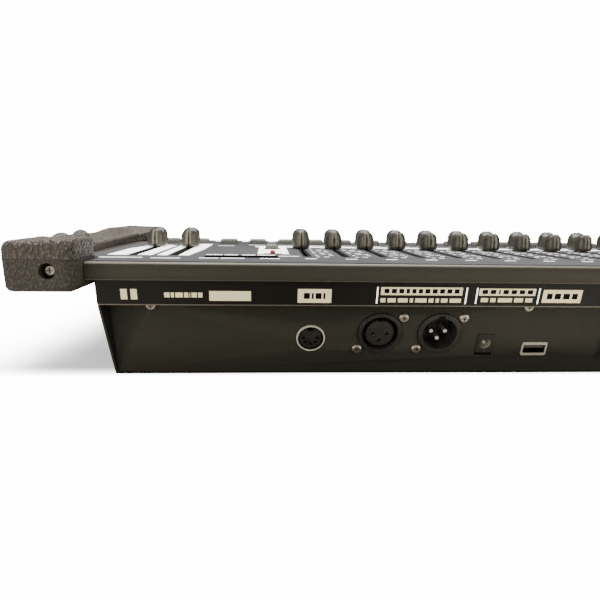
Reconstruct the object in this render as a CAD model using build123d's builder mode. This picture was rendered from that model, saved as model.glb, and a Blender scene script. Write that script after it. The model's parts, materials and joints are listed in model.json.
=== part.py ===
from build123d import *
import math
import os

os.makedirs("parts", exist_ok=True)

# Lighting control desk: a shallow sheet-metal case with a printed deck, sixteen channel
# faders, two master faders, a row of push buttons, a small display, moulded side grips and
# a row of sockets behind.
#
# Row frame: +Z up, +Y towards the sockets (the rear), the user sits at -Y, X = 0 in the
# middle. Almost everything is laid out in deck coordinates: u runs to the right as seen
# from behind (u = -X), v runs from the rear edge of the deck towards the user, and w rises
# square to the deck. The socket plate has its own u, with s running up the plate from its
# lower edge and n pointing out of it.

# ---------------------------------------------------------------- overall sizes, mm
SLOPE = 4.0  # fall of the deck towards the user, degrees
SHEET = 1.2  # thickness of every folded sheet part
DECK_DEPTH = 183.0
FOOT_HEIGHT = 3.0
GAP = 0.3  # clearance left between neighbouring pieces

# ---------------------------------------------------------------- case
CASE_HALF = 223.7  # outer faces of the end plates
RIM_HALF = 225.8  # ends of the deck's bent-down rims
RIM_DROP = 8.7
COVER_HALF = 241.3  # side edges of the deck plate, held by the grips
STRIP_TOP_V = 6.3  # outer face of the label strip, under the rim
STRIP_LIP_V = 9.3  # its lower lip
STRIP_LIP_W = -22.15
LIP_BEND = 0.8  # outside radius of the lip's fold
EDGE_ROUND = 0.4  # broken edge of the rim and of the sockets' rings
CORNER_V = 34.7  # lower rear corner of the case
CORNER_W = -64.6
PLATE_LEAN = 15.5  # socket plate against the deck's normal, degrees
FRONT_TOP_V = 179.0
FRONT_LEAN = 9.0

# ---------------------------------------------------------------- deck layout
CHANNELS = 16
FADER_PITCH = 21.0
CHANNEL_FIRST_U = -120.1
MASTER_U = (-191.4, -212.3)
TRAVEL = 60.0
KNOB_REST_V = 99.0
SLOT_WIDTH = 2.2
SLOT_MARGIN = 4.5  # slot beyond the knob's centre at each end of its travel
BUTTONS = 17
BUTTON_PITCH = 20.6
BUTTON_FIRST_U = -210.6
BUTTON_V = 138.5
BUTTON_SIZE = (12.6, 9.0)
BUTTON_HEIGHT = 3.2
BUTTON_TRAVEL = 0.8
BUTTON_SHOULDER = 0.9  # straight side above the deck, below the domed top
BUTTON_RIM_W = 1.7  # depth of the retaining rim below the deck's surface
SELECT_U = -138.9  # small button beside the display
SELECT_V = 91.5
SELECT_SIZE = (8.3, 8.3)
SELECT_HEIGHT = 2.6
DISPLAY_CENTRE = (-155.2, 31.5)
DISPLAY_SIZE = (38.0, 13.0)
LED_PLACE = (-138.7, 52.0)
LED_RADIUS = 1.5
LED_HEIGHT = 2.4
OVERLAY = 0.25
OVERLAY_HALF = 234.3
OVERLAY_INSET = 2.2  # bare metal left along the bent rims
OVERLAY_CHAMFER_V = (35.0, 146.0)  # where the overlay's cut corners start
RIM_BEND = 1.8  # outside radius of the rim's fold
TAB_WIDTH = 11.0  # ears under the deck that take the grips' end screws

# ---------------------------------------------------------------- knob
KNOB_LENGTH = 18.0
KNOB_WIDTH = 10.6
KNOB_FOOT = 1.0  # gap between deck and knob
KNOB_TOP = 12.6
KNOB_GROOVE = 0.6
LEVER = (4.0, 1.1)  # along the slot, across it
LEVER_GRIP = 5.0  # how far the lever reaches into the knob
CARRIAGE = (4.6, 6.0, 3.0)  # slider inside the frame
CARRIAGE_W = -8.5

KNOB_FLANK = 3.5  # half-length of the straight sides, before the bullet ends

# ---------------------------------------------------------------- inside
FRAME_WIDTH = 9.0
FRAME_WALL = 1.2
BOARD_U = (-221.0, 214.0)
BOARD_V = (22.5, 152.0)
FRAME_TOP_W = -3.0
FRAME_BOTTOM_W = -11.0
BOARD_THICKNESS = 1.6
SWITCH_TOP_W = -7.2

# ---------------------------------------------------------------- grips
GRIP_OUTER = 257.2
GRIP_BULGE = 260.0
GRIP_HOOK = 226.2  # inner face of the hooks that close round the deck's corners
GRIP_REAR_V = -12.0
GRIP_FRONT_V = 191.0
HOOK_V = 17.2
GRIP_BOTTOM_W = -12.9
PARTING_W = 1.7
GRIP_TOP_W = 11.2
GRIP_WALL = 3.0
GRIP_SCREW = (237.6, -3.4)
GRIP_RECESS = 3.6  # radius of the screw's counterbore
RECESS_DEPTH = 5.0
BOSS_RADIUS = 4.8
GRIP_ROUND = 4.5  # plan corners
GRIP_EDGE = 3.0  # rounding of the outer top and bottom edges

# ---------------------------------------------------------------- sockets, (u, s) on the plate
DIN_PLACE = (-118.2, 22.5)
XLR_FEMALE_PLACE = (-80.8, 25.5)
XLR_MALE_PLACE = (-48.0, 25.5)
DC_PLACE = (-21.5, 18.3)
USB_PLACE = (7.0, 15.9)
SWITCH_PLACE = (56.3, 17.6)
XLR_HOLE = 12.2
XLR_RING = 11.95
XLR_FLANGE = (31.0, 26.0)
XLR_SCREW = (12.0, 9.5)
XLR_FLANGE_THICKNESS = 2.4
XLR_DEPTH = 17.0
XLR_PROUD = 1.0
XLR_CONTACTS = ((-3.95, 0), (3.95, 0), (0, -4.4))
DIN_RING = 7.7
DC_SIZE = (9.4, 13.0)
DC_BORE_RAISE = 0.9  # the bore sits above the body's middle
DC_BEVEL = 1.8  # bevel along its lower front edge
USB_SIZE = (14.4, 8.2)
SWITCH_BEZEL = (21.0, 15.0)
SWITCH_BODY = (19.2, 12.8)
ROCKER_RADIUS = 8.2
ROCKER_PIVOT_N = -3.0
ROCKER_TILT = 10.0
LIP_SCREWS = ((-201.1, 41.8), (-1.7, 41.8))

# ---------------------------------------------------------------- screws
HEAD_RADIUS = 2.75
HEAD_HEIGHT = 1.7
SHANK_RADIUS = 1.45
SHANK_LENGTH = 7.0

COS = math.cos(math.radians(SLOPE))
SIN = math.sin(math.radians(SLOPE))
REAR_Z = FOOT_HEIGHT + CORNER_V * SIN - CORNER_W * COS
REAR_Y = (GRIP_FRONT_V + GRIP_REAR_V) / 2 * COS + (GRIP_TOP_W + GRIP_BOTTOM_W) / 2 * SIN


def deck_yz(v, w):
    """Y and Z of the point v in from the rear edge and w above the deck."""
    return (REAR_Y - v * COS - w * SIN, REAR_Z - v * SIN + w * COS)


DECK = Plane(origin=(0, REAR_Y, REAR_Z), x_dir=(-1, 0, 0), z_dir=(0, -SIN, COS))
TRUE_LEAN = math.radians(PLATE_LEAN - SLOPE)
PLATE = Plane(
    origin=(0, *deck_yz(CORNER_V, CORNER_W)),
    x_dir=(-1, 0, 0),
    z_dir=(0, math.cos(TRUE_LEAN), -math.sin(TRUE_LEAN)),
)


def plate_v(w):
    """Depth v of the socket plate's outer face at height w."""
    return CORNER_V - (w - CORNER_W) * math.tan(math.radians(PLATE_LEAN))


def strip_v(w):
    """Depth v of the label strip's outer face at height w."""
    slant = (STRIP_LIP_V - STRIP_TOP_V) / (STRIP_LIP_W + RIM_DROP)
    return STRIP_LIP_V + (w - STRIP_LIP_W) * slant


def boss_plane(side, v, inward):
    """A plane square to the grip's length at depth v, centred on its end screw."""
    origin = DECK.from_local_coords(Vector(side * GRIP_SCREW[0], v, GRIP_SCREW[1]))
    return Plane(origin=origin, x_dir=(1, 0, 0), z_dir=DECK.y_dir * inward)


channel_us = [CHANNEL_FIRST_U + FADER_PITCH * i for i in range(CHANNELS)]
fader_us = list(MASTER_U) + channel_us
button_us = [BUTTON_FIRST_U + BUTTON_PITCH * i for i in range(BUTTONS)]
slot_mid_v = KNOB_REST_V - TRAVEL / 2
slot_length = TRAVEL + 2 * SLOT_MARGIN

# ================================================================ case
bottom_z = FOOT_HEIGHT
rear_bottom_y = deck_yz(CORNER_V, CORNER_W)[0]
front_top = deck_yz(FRONT_TOP_V, -SHEET - GAP)
front_drop = front_top[1] - bottom_z
front_bottom_y = front_top[0] + front_drop * math.tan(math.radians(FRONT_LEAN))

# end plates stop short of the label strip, and their rear edges run down to the corner
strip_back = SHEET + GAP
end_outline = [
    deck_yz(strip_v(-SHEET - GAP) + strip_back, -SHEET - GAP),
    deck_yz(STRIP_LIP_V + strip_back, STRIP_LIP_W),
    deck_yz(STRIP_LIP_V + GAP, STRIP_LIP_W - GAP),
    deck_yz(CORNER_V, CORNER_W),
    (front_bottom_y, bottom_z),
    front_top,
]
front_outline = [
    (front_bottom_y, bottom_z),
    front_top,
    (front_top[0] + SHEET, front_top[1]),
    (front_bottom_y + SHEET, bottom_z),
]
foot_us = (-190.0, 190.0)
foot_ys = (front_bottom_y + 22.0, rear_bottom_y - 22.0)
base_screw_us = (-180.0, -60.0, 60.0, 180.0)
base_screw_y = rear_bottom_y - 8.0

with BuildPart() as base_tub:
    with BuildSketch(Plane.XY.offset(bottom_z)):
        with Locations((0, (front_bottom_y + rear_bottom_y) / 2)):
            Rectangle(2 * CASE_HALF, rear_bottom_y - front_bottom_y)
        with Locations(*[(-u, base_screw_y) for u in base_screw_us]):
            Circle(SHANK_RADIUS + 0.15, mode=Mode.SUBTRACT)
    extrude(amount=SHEET)
    with BuildSketch(Plane.YZ.offset(CASE_HALF - SHEET)):
        with BuildLine():
            Polyline(*end_outline, close=True)
        make_face()
    extrude(amount=SHEET)
    with BuildSketch(Plane.YZ.offset(-CASE_HALF)):
        with BuildLine():
            Polyline(*end_outline, close=True)
        make_face()
    extrude(amount=SHEET)
    with BuildSketch(Plane.YZ.offset(-CASE_HALF)):
        with BuildLine():
            Polyline(*front_outline, close=True)
        make_face()
    extrude(amount=2 * CASE_HALF)
base_tub.part.label = "base_tub"
export_step(base_tub.part, "parts/base_tub.step")

# label strip: leans in below the rim, and its lower edge folds back to the socket plate
return_half = CASE_HALF - SHEET - GAP
strip_profile = [
    deck_yz(strip_v(-SHEET - GAP), -SHEET - GAP),
    deck_yz(STRIP_LIP_V, STRIP_LIP_W),
    deck_yz(STRIP_LIP_V + SHEET, STRIP_LIP_W),
    deck_yz(strip_v(-SHEET - GAP) + SHEET, -SHEET - GAP),
]
return_profile = [
    deck_yz(STRIP_LIP_V + SHEET / 2, STRIP_LIP_W),
    deck_yz(plate_v(STRIP_LIP_W) - GAP / 2, STRIP_LIP_W),
    deck_yz(plate_v(STRIP_LIP_W + SHEET) - GAP / 2, STRIP_LIP_W + SHEET),
    deck_yz(STRIP_LIP_V + SHEET / 2, STRIP_LIP_W + SHEET),
]
with BuildPart() as label_strip:
    with BuildSketch(Plane.YZ.offset(-CASE_HALF)):
        with BuildLine():
            Polyline(*strip_profile, close=True)
        make_face()
    extrude(amount=2 * CASE_HALF)
    with BuildSketch(Plane.YZ.offset(-return_half)):
        with BuildLine():
            Polyline(*return_profile, close=True)
        make_face()
    extrude(amount=2 * return_half)
    lip_edges = label_strip.edges().filter_by(Axis.X)
    fillet(lip_edges.sort_by_distance((0, *deck_yz(STRIP_LIP_V, STRIP_LIP_W)))[0], radius=LIP_BEND)
    with BuildSketch(PLATE.offset(-1)):
        with Locations(*LIP_SCREWS):
            Circle(HEAD_RADIUS + GAP)
    extrude(amount=1 + HEAD_HEIGHT + GAP, mode=Mode.SUBTRACT)
label_strip.part.label = "label_strip"
export_step(label_strip.part, "parts/label_strip.step")

# socket plate: flat, standing on the tub's floor, with a foot that folds forwards
plate_height = (-RIM_DROP - CORNER_W) / math.cos(math.radians(PLATE_LEAN))
plate_foot_s = (SHEET + GAP / 2) / math.cos(TRUE_LEAN)
plate_foot_depth = 12.0
foot_back_y = rear_bottom_y - 0.2
with BuildPart() as socket_plate:
    with BuildSketch(PLATE):
        with Locations((0, (plate_foot_s + plate_height) / 2)):
            Rectangle(2 * return_half, plate_height - plate_foot_s)
        with Locations(XLR_FEMALE_PLACE, XLR_MALE_PLACE):
            Circle(XLR_HOLE, mode=Mode.SUBTRACT)
            with Locations(XLR_SCREW, (-XLR_SCREW[0], -XLR_SCREW[1])):
                Circle(SHANK_RADIUS + 0.15, mode=Mode.SUBTRACT)
        with Locations(DIN_PLACE):
            Circle(DIN_RING + 0.15, mode=Mode.SUBTRACT)
        with Locations(DC_PLACE):
            Rectangle(DC_SIZE[0] + 0.4, DC_SIZE[1] + 0.4, mode=Mode.SUBTRACT)
        with Locations(USB_PLACE):
            Rectangle(USB_SIZE[0] + 0.4, USB_SIZE[1] + 0.4, mode=Mode.SUBTRACT)
        with Locations(SWITCH_PLACE):
            Rectangle(SWITCH_BODY[0] + 0.4, SWITCH_BODY[1] + 0.4, mode=Mode.SUBTRACT)
        with Locations(*LIP_SCREWS):
            Circle(SHANK_RADIUS + 0.15, mode=Mode.SUBTRACT)
    extrude(amount=-SHEET)
    with BuildSketch(Plane.XY.offset(bottom_z + SHEET + GAP / 2)):
        with Locations((0, foot_back_y - plate_foot_depth / 2)):
            Rectangle(2 * return_half, plate_foot_depth)
        with Locations(*[(-u, base_screw_y) for u in base_screw_us]):
            Circle(SHANK_RADIUS + 0.15, mode=Mode.SUBTRACT)
    extrude(amount=SHEET)
socket_plate.part.label = "socket_plate"
export_step(socket_plate.part, "parts/socket_plate.step")


def deck_openings(grow):
    """Cut the fader slots, button, display and lamp openings, each side larger by grow."""
    with Locations(*[(u, slot_mid_v) for u in fader_us]):
        SlotOverall(slot_length + 2 * grow, SLOT_WIDTH + 2 * grow, rotation=90, mode=Mode.SUBTRACT)
    with Locations(*[(u, BUTTON_V) for u in button_us]):
        Rectangle(
            BUTTON_SIZE[0] + 2 * (GAP + grow), BUTTON_SIZE[1] + 2 * (GAP + grow), mode=Mode.SUBTRACT
        )
    with Locations((SELECT_U, SELECT_V)):
        Rectangle(
            SELECT_SIZE[0] + 2 * (GAP + grow), SELECT_SIZE[1] + 2 * (GAP + grow), mode=Mode.SUBTRACT
        )
    with Locations(DISPLAY_CENTRE):
        Rectangle(DISPLAY_SIZE[0] + 2 * grow, DISPLAY_SIZE[1] + 2 * grow, mode=Mode.SUBTRACT)
    with Locations(LED_PLACE):
        Circle(LED_RADIUS + 0.1 + grow, mode=Mode.SUBTRACT)


tab_u = GRIP_SCREW[0] - 2.5
tab_vs = (HOOK_V + GAP + SHEET / 2, DECK_DEPTH - HOOK_V - GAP - SHEET / 2)

# deck plate outline, notched at its corners for the hooks of the grips
cover_right = [
    (RIM_HALF, 0),
    (RIM_HALF, HOOK_V + GAP),
    (COVER_HALF, HOOK_V + GAP),
    (COVER_HALF, DECK_DEPTH - HOOK_V - GAP),
    (RIM_HALF, DECK_DEPTH - HOOK_V - GAP),
    (RIM_HALF, DECK_DEPTH),
]
cover_left = [(-u, v) for u, v in reversed(cover_right)]
with BuildPart() as top_cover:
    with BuildSketch(DECK):
        with BuildLine():
            Polyline(*cover_right, *cover_left, close=True)
        make_face()
        deck_openings(0)
    extrude(amount=-SHEET)
    with BuildSketch(DECK):
        with Locations((0, SHEET / 2), (0, DECK_DEPTH - SHEET / 2)):
            Rectangle(2 * RIM_HALF, SHEET)
        with Locations(*[(side * tab_u, v) for side in (-1, 1) for v in tab_vs]):
            Rectangle(TAB_WIDTH, SHEET)
    extrude(amount=-RIM_DROP)
    rim_edges = top_cover.edges().filter_by(Axis.X)
    rear_edge = rim_edges.sort_by_distance((0, REAR_Y, REAR_Z))[0]
    front_edge = rim_edges.sort_by_distance((0, *deck_yz(DECK_DEPTH, 0)))[0]
    fillet([rear_edge, front_edge], radius=RIM_BEND)
    rim_edges = top_cover.edges().filter_by(Axis.X)
    rear_lower = rim_edges.sort_by_distance((0, *deck_yz(0, -RIM_DROP)))[0]
    front_lower = rim_edges.sort_by_distance((0, *deck_yz(DECK_DEPTH, -RIM_DROP)))[0]
    fillet([rear_lower, front_lower], radius=EDGE_ROUND)
    for side in (-1, 1):
        for v in (HOOK_V, DECK_DEPTH - HOOK_V):
            with BuildSketch(boss_plane(side, v, 1)):
                Circle(SHANK_RADIUS + 0.15)
            extrude(amount=4.0, both=True, mode=Mode.SUBTRACT)
top_cover.part.label = "top_cover"
export_step(top_cover.part, "parts/top_cover.step")

overlay_corner = RIM_HALF - OVERLAY_INSET
overlay_right = [
    (overlay_corner, OVERLAY_INSET),
    (overlay_corner, HOOK_V),
    (OVERLAY_HALF, OVERLAY_CHAMFER_V[0]),
    (OVERLAY_HALF, OVERLAY_CHAMFER_V[1]),
    (overlay_corner, DECK_DEPTH - HOOK_V),
    (overlay_corner, DECK_DEPTH - OVERLAY_INSET),
]
overlay_left = [(-u, v) for u, v in reversed(overlay_right)]
with BuildPart() as deck_overlay:
    with BuildSketch(DECK):
        with BuildLine():
            Polyline(*overlay_right, *overlay_left, close=True)
        make_face()
        deck_openings(0.15)
    extrude(amount=OVERLAY)
deck_overlay.part.label = "deck_overlay"
export_step(deck_overlay.part, "parts/deck_overlay.step")

# ================================================================ deck fittings
with BuildPart() as display_window:
    with BuildSketch(DECK.offset(-0.9)):
        with Locations(DISPLAY_CENTRE):
            Rectangle(DISPLAY_SIZE[0] - 0.2, DISPLAY_SIZE[1] - 0.2)
    extrude(amount=1.1)
    with BuildSketch(DECK.offset(-2.1)):
        with Locations(DISPLAY_CENTRE):
            Rectangle(DISPLAY_SIZE[0] + 4.0, DISPLAY_SIZE[1] + 4.0)
    extrude(amount=0.8)
    with BuildSketch(DECK.offset(-1.4)):
        with Locations(DISPLAY_CENTRE):
            Rectangle(DISPLAY_SIZE[0] - 0.2, DISPLAY_SIZE[1] - 0.2)
    extrude(amount=0.6)
display_window.part.label = "display_window"
export_step(display_window.part, "parts/display_window.step")

with BuildPart() as display_module:
    with BuildSketch(DECK.offset(FRAME_BOTTOM_W)):
        with Locations(DISPLAY_CENTRE):
            Rectangle(DISPLAY_SIZE[0] - 1.0, DISPLAY_SIZE[1] - 1.0)
    extrude(amount=-2.3 - FRAME_BOTTOM_W)
display_module.part.label = "display_module"
export_step(display_module.part, "parts/display_module.step")

with BuildPart() as indicator_led:
    with BuildSketch(DECK.offset(-4.5)):
        with Locations(LED_PLACE):
            Circle(LED_RADIUS)
    extrude(amount=4.5 + LED_HEIGHT)
    dome_edge = indicator_led.edges().filter_by(GeomType.CIRCLE).sort_by(Axis.Z)[-1]
    fillet(dome_edge, radius=LED_RADIUS * 0.9)
    with BuildSketch(DECK.offset(-5.5)):
        with Locations(LED_PLACE):
            Circle(LED_RADIUS + 0.4)
    extrude(amount=1.0)
indicator_led.part.label = "indicator_led"
export_step(indicator_led.part, "parts/indicator_led.step")


def knob_profile(drop):
    """Side view of a fader cap, a saddle whose higher peak is the user's; drop lowers it."""
    half = KNOB_LENGTH / 2
    rear_peak, waist, peak = 11.4 - drop, 9.9 - drop, KNOB_TOP - drop
    rear_side = (0.5 - half, 8.2 - drop)
    user_side = (half - 1.9, 9.0 - drop)
    Polyline(rear_side, (-half, KNOB_FOOT), (half, KNOB_FOOT), user_side)
    ThreePointArc(user_side, (half - 3.2, peak - 1.0), (half - 4.8, peak))
    ThreePointArc((half - 4.8, peak), (-0.6, waist), (2.6 - half, rear_peak))
    ThreePointArc((2.6 - half, rear_peak), (1.1 - half, rear_peak - 1.1), rear_side)


def fader():
    """A fader cap on its steel lever, in the middle of the deck at the user's end of a slot."""
    origin = DECK.from_local_coords(Vector(0, KNOB_REST_V, 0))
    side_plane = Plane(origin=origin, x_dir=DECK.y_dir, z_dir=DECK.x_dir)
    end_plane = Plane(origin=origin, x_dir=DECK.x_dir, z_dir=-DECK.y_dir)
    top_plane = Plane(origin=origin, x_dir=DECK.x_dir, z_dir=DECK.z_dir)
    side = KNOB_WIDTH / 2
    end = KNOB_LENGTH / 2
    with BuildPart() as cap:
        with BuildSketch(side_plane):
            with BuildLine():
                knob_profile(0)
            make_face()
        extrude(amount=side, both=True)
        with BuildSketch(end_plane.offset(-end - 1)):
            with BuildLine():
                Line((-side, 0), (side, 0))
                Line((side, 0), (side - 0.4, 8.0))
                ThreePointArc((side - 0.4, 8.0), (0, KNOB_TOP + 0.4), (0.4 - side, 8.0))
                Line((0.4 - side, 8.0), (-side, 0))
            make_face()
        extrude(amount=KNOB_LENGTH + 2, mode=Mode.INTERSECT)
        with BuildSketch(top_plane):
            with BuildLine():
                Line((-side, -KNOB_FLANK), (-side, KNOB_FLANK))
                ThreePointArc((-side, KNOB_FLANK), (0, end), (side, KNOB_FLANK))
                Line((side, KNOB_FLANK), (side, -KNOB_FLANK))
                ThreePointArc((side, -KNOB_FLANK), (0, -end), (-side, -KNOB_FLANK))
            make_face()
        extrude(amount=KNOB_TOP + 1, mode=Mode.INTERSECT)
        with BuildSketch(side_plane):
            with Locations((0, KNOB_TOP - 2)):
                Rectangle(KNOB_LENGTH + 2, 7.0)
            with BuildLine():
                knob_profile(KNOB_GROOVE)
            make_face(mode=Mode.SUBTRACT)
        extrude(amount=KNOB_GROOVE * 0.75, both=True, mode=Mode.SUBTRACT)
        with BuildSketch(top_plane.offset(KNOB_FOOT)):
            Rectangle(LEVER[1] + 0.1, LEVER[0] + 0.1)
        extrude(amount=LEVER_GRIP, mode=Mode.SUBTRACT)
    with BuildPart() as lever:
        with BuildSketch(top_plane.offset(CARRIAGE_W)):
            Rectangle(LEVER[1], LEVER[0])
        extrude(amount=KNOB_FOOT + LEVER_GRIP - CARRIAGE_W)
        with BuildSketch(top_plane.offset(CARRIAGE_W)):
            Rectangle(*CARRIAGE[:2])
        extrude(amount=CARRIAGE[2])
    return cap.part, lever.part


def fader_name(index):
    """Masters first, then channels counted from the user's left."""
    if index < len(MASTER_U):
        return f"fader_master_{index + 1}"
    return f"fader_channel_{CHANNELS - index + len(MASTER_U):02d}"


centre_fader = fader()
for index, u in enumerate(fader_us):
    piece = Compound(children=[Pos(-u, 0, 0) * half for half in centre_fader])
    piece.label = fader_name(index)
    export_step(piece, f"parts/{piece.label}.step")


def push_button(v, size, height):
    """A moulded cap in mid-deck: domed top, body through the deck, rim and stem below."""
    stem_end = SWITCH_TOP_W + BUTTON_TRAVEL + GAP
    with BuildPart() as cap:
        with BuildSketch(DECK.offset(-BUTTON_RIM_W)):
            with Locations((0, v)):
                RectangleRounded(*size, radius=1.2)
        extrude(amount=BUTTON_RIM_W + BUTTON_SHOULDER)
        with BuildSketch(DECK.offset(BUTTON_SHOULDER)):
            with Locations((0, v)):
                RectangleRounded(*size, radius=1.2)
        extrude(amount=height - BUTTON_SHOULDER, taper=30)
        with BuildSketch(DECK.offset(-BUTTON_RIM_W)):
            with Locations((0, v)):
                Rectangle(size[0] + 2.0, size[1] + 2.0)
        extrude(amount=-1.0)
        with BuildSketch(DECK.offset(stem_end)):
            with Locations((0, v)):
                Circle(1.8)
        extrude(amount=-BUTTON_RIM_W - stem_end)
    return cap


centre_button = push_button(BUTTON_V, BUTTON_SIZE, BUTTON_HEIGHT)
for index, u in enumerate(button_us):
    piece = Pos(-u, 0, 0) * centre_button.part
    piece.label = f"button_{BUTTONS - index:02d}"
    export_step(piece, f"parts/{piece.label}.step")

select_button = Pos(-SELECT_U, 0, 0) * push_button(SELECT_V, SELECT_SIZE, SELECT_HEIGHT).part
select_button.label = "select_button"
export_step(select_button, "parts/select_button.step")

# ================================================================ inside the case
frame_length = slot_length + 9.0
with BuildPart() as fader_frames:
    with BuildSketch(DECK.offset(FRAME_BOTTOM_W)):
        with Locations(*[(u, slot_mid_v) for u in fader_us]):
            Rectangle(FRAME_WIDTH, frame_length)
    extrude(amount=FRAME_TOP_W - FRAME_BOTTOM_W)
    with BuildSketch(DECK.offset(FRAME_BOTTOM_W + FRAME_WALL)):
        with Locations(*[(u, slot_mid_v) for u in fader_us]):
            Rectangle(FRAME_WIDTH - 2 * FRAME_WALL, frame_length - 2 * FRAME_WALL)
    extrude(amount=FRAME_TOP_W - FRAME_BOTTOM_W, mode=Mode.SUBTRACT)
fader_frames.part.label = "fader_frames"
export_step(fader_frames.part, "parts/fader_frames.step")

with BuildPart() as main_board:
    with BuildSketch(DECK.offset(FRAME_BOTTOM_W)):
        with Locations(((BOARD_U[0] + BOARD_U[1]) / 2, (BOARD_V[0] + BOARD_V[1]) / 2)):
            Rectangle(BOARD_U[1] - BOARD_U[0], BOARD_V[1] - BOARD_V[0])
    extrude(amount=-BOARD_THICKNESS)
main_board.part.label = "main_board"
export_step(main_board.part, "parts/main_board.step")

switch_places = [(u, BUTTON_V) for u in button_us] + [(SELECT_U, SELECT_V)]
with BuildPart() as button_switches:
    with BuildSketch(DECK.offset(FRAME_BOTTOM_W)):
        with Locations(*switch_places):
            Rectangle(6.0, 6.0)
    extrude(amount=SWITCH_TOP_W - FRAME_BOTTOM_W)
button_switches.part.label = "button_switches"
export_step(button_switches.part, "parts/button_switches.step")

# ================================================================ grips
top_profile = [(GRIP_REAR_V, GRIP_TOP_W), (22, 10.2), (62, 8.8), (95, 8.8), (135, 10.7)]
grip_end = (GRIP_FRONT_V, 10.6)
grip_mid_v = (GRIP_REAR_V + GRIP_FRONT_V) / 2
ledge_u = COVER_HALF + GAP  # where the grip shells step over the deck's side edge
# each end of a grip: its depth v, the way in, and the distance in to the deck's ear
grip_ends = (
    (GRIP_REAR_V, 1, HOOK_V - GRIP_REAR_V),
    (GRIP_FRONT_V, -1, GRIP_FRONT_V - DECK_DEPTH + HOOK_V),
)


def grip_outline(side, hooked):
    """Plan of a grip in (u, v); the upper shell waists in between its two hooks."""
    rear, front = GRIP_REAR_V, GRIP_FRONT_V
    far_hook_v = DECK_DEPTH - HOOK_V
    inner = [(GRIP_OUTER, rear), (GRIP_HOOK, rear)]
    if hooked:
        inner += [(GRIP_HOOK, HOOK_V), (239.2, 36), (235.6, 150), (GRIP_HOOK, far_hook_v)]
    inner += [(GRIP_HOOK, front), (GRIP_OUTER, front)]
    points = [(side * u, v) for u, v in inner]
    Polyline(*points)
    ThreePointArc(points[-1], (side * GRIP_BULGE, grip_mid_v), points[0])


def grip_upper(side):
    """Upper shell: rests on the deck's edge inside, meets the lower shell outside."""
    with BuildPart() as shell:
        with BuildSketch(DECK):
            with BuildLine():
                grip_outline(side, True)
            make_face()
            fillet(vertices(), radius=GRIP_ROUND)
        extrude(amount=GRIP_TOP_W + 1)
        with BuildSketch(Plane.YZ.offset(-2 * GRIP_OUTER)):
            with BuildLine():
                profile = [deck_yz(v, w) for v, w in top_profile + [grip_end]]
                Spline(*profile)
                Polyline(profile[-1], deck_yz(GRIP_FRONT_V, 0), deck_yz(GRIP_REAR_V, 0), profile[0])
            make_face()
        extrude(amount=4 * GRIP_OUTER, mode=Mode.INTERSECT)
        above = DECK.from_local_coords(Vector(side * 250, 90, 12))
        top_face = shell.faces().sort_by_distance(above)[0]
        fillet(top_face.edges(), radius=GRIP_EDGE)
        with BuildSketch(DECK):
            with Locations((side * (ledge_u + 15), grip_mid_v)):
                Rectangle(30, GRIP_FRONT_V - GRIP_REAR_V + 2)
            with Locations((side * 233, HOOK_V - 20), (side * 233, DECK_DEPTH - HOOK_V + 20)):
                Rectangle(20, 40)
        extrude(amount=PARTING_W, mode=Mode.SUBTRACT)
        with BuildSketch(DECK):
            with BuildLine():
                grip_outline(side, True)
            make_face()
            fillet(vertices(), radius=GRIP_ROUND)
            offset(amount=-GRIP_WALL)
            with Locations((side * (ledge_u - 20), grip_mid_v)):
                Rectangle(40, DECK_DEPTH - 2 * HOOK_V, mode=Mode.SUBTRACT)
        extrude(amount=8.6 - GRIP_WALL, mode=Mode.SUBTRACT)
    return shell


def grip_lower(side):
    """Lower shell: hooks and outer wall up to the parting line, a tray under the deck's edge."""
    with BuildPart() as shell:
        with BuildSketch(DECK.offset(GRIP_BOTTOM_W)):
            with BuildLine():
                grip_outline(side, False)
            make_face()
            fillet(vertices(), radius=GRIP_ROUND)
        extrude(amount=PARTING_W - GRIP_BOTTOM_W)
        bottom_face = shell.faces().sort_by(Axis.Z)[0]
        fillet(bottom_face.edges(), radius=GRIP_EDGE)
        with BuildSketch(DECK.offset(GRIP_BOTTOM_W + GRIP_WALL)):
            with BuildLine():
                grip_outline(side, False)
            make_face()
            fillet(vertices(), radius=GRIP_ROUND)
            offset(amount=-GRIP_WALL)
        extrude(amount=20, mode=Mode.SUBTRACT)
        for v, inward, length in grip_ends:
            with BuildSketch(boss_plane(side, v + inward, inward)):
                Circle(BOSS_RADIUS)
            extrude(amount=length - 1)
        with BuildSketch(DECK.offset(-SHEET - GAP)):
            with Locations((side * (ledge_u - 15), DECK_DEPTH / 2)):
                Rectangle(30, DECK_DEPTH - 2 * HOOK_V)
        extrude(amount=10, mode=Mode.SUBTRACT)
        for v, inward, length in grip_ends:
            with BuildSketch(boss_plane(side, v - inward, inward)):
                Circle(GRIP_RECESS)
            extrude(amount=1 + RECESS_DEPTH, mode=Mode.SUBTRACT)
            with BuildSketch(boss_plane(side, v - inward, inward)):
                Circle(SHANK_RADIUS + 0.15)
            extrude(amount=length + 5, mode=Mode.SUBTRACT)
    return shell


for side, hand in ((-1, "right"), (1, "left")):
    upper = grip_upper(side)
    upper.part.label = f"grip_{hand}_upper"
    export_step(upper.part, f"parts/grip_{hand}_upper.step")
    lower = grip_lower(side)
    lower.part.label = f"grip_{hand}_lower"
    export_step(lower.part, f"parts/grip_{hand}_lower.step")

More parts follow.
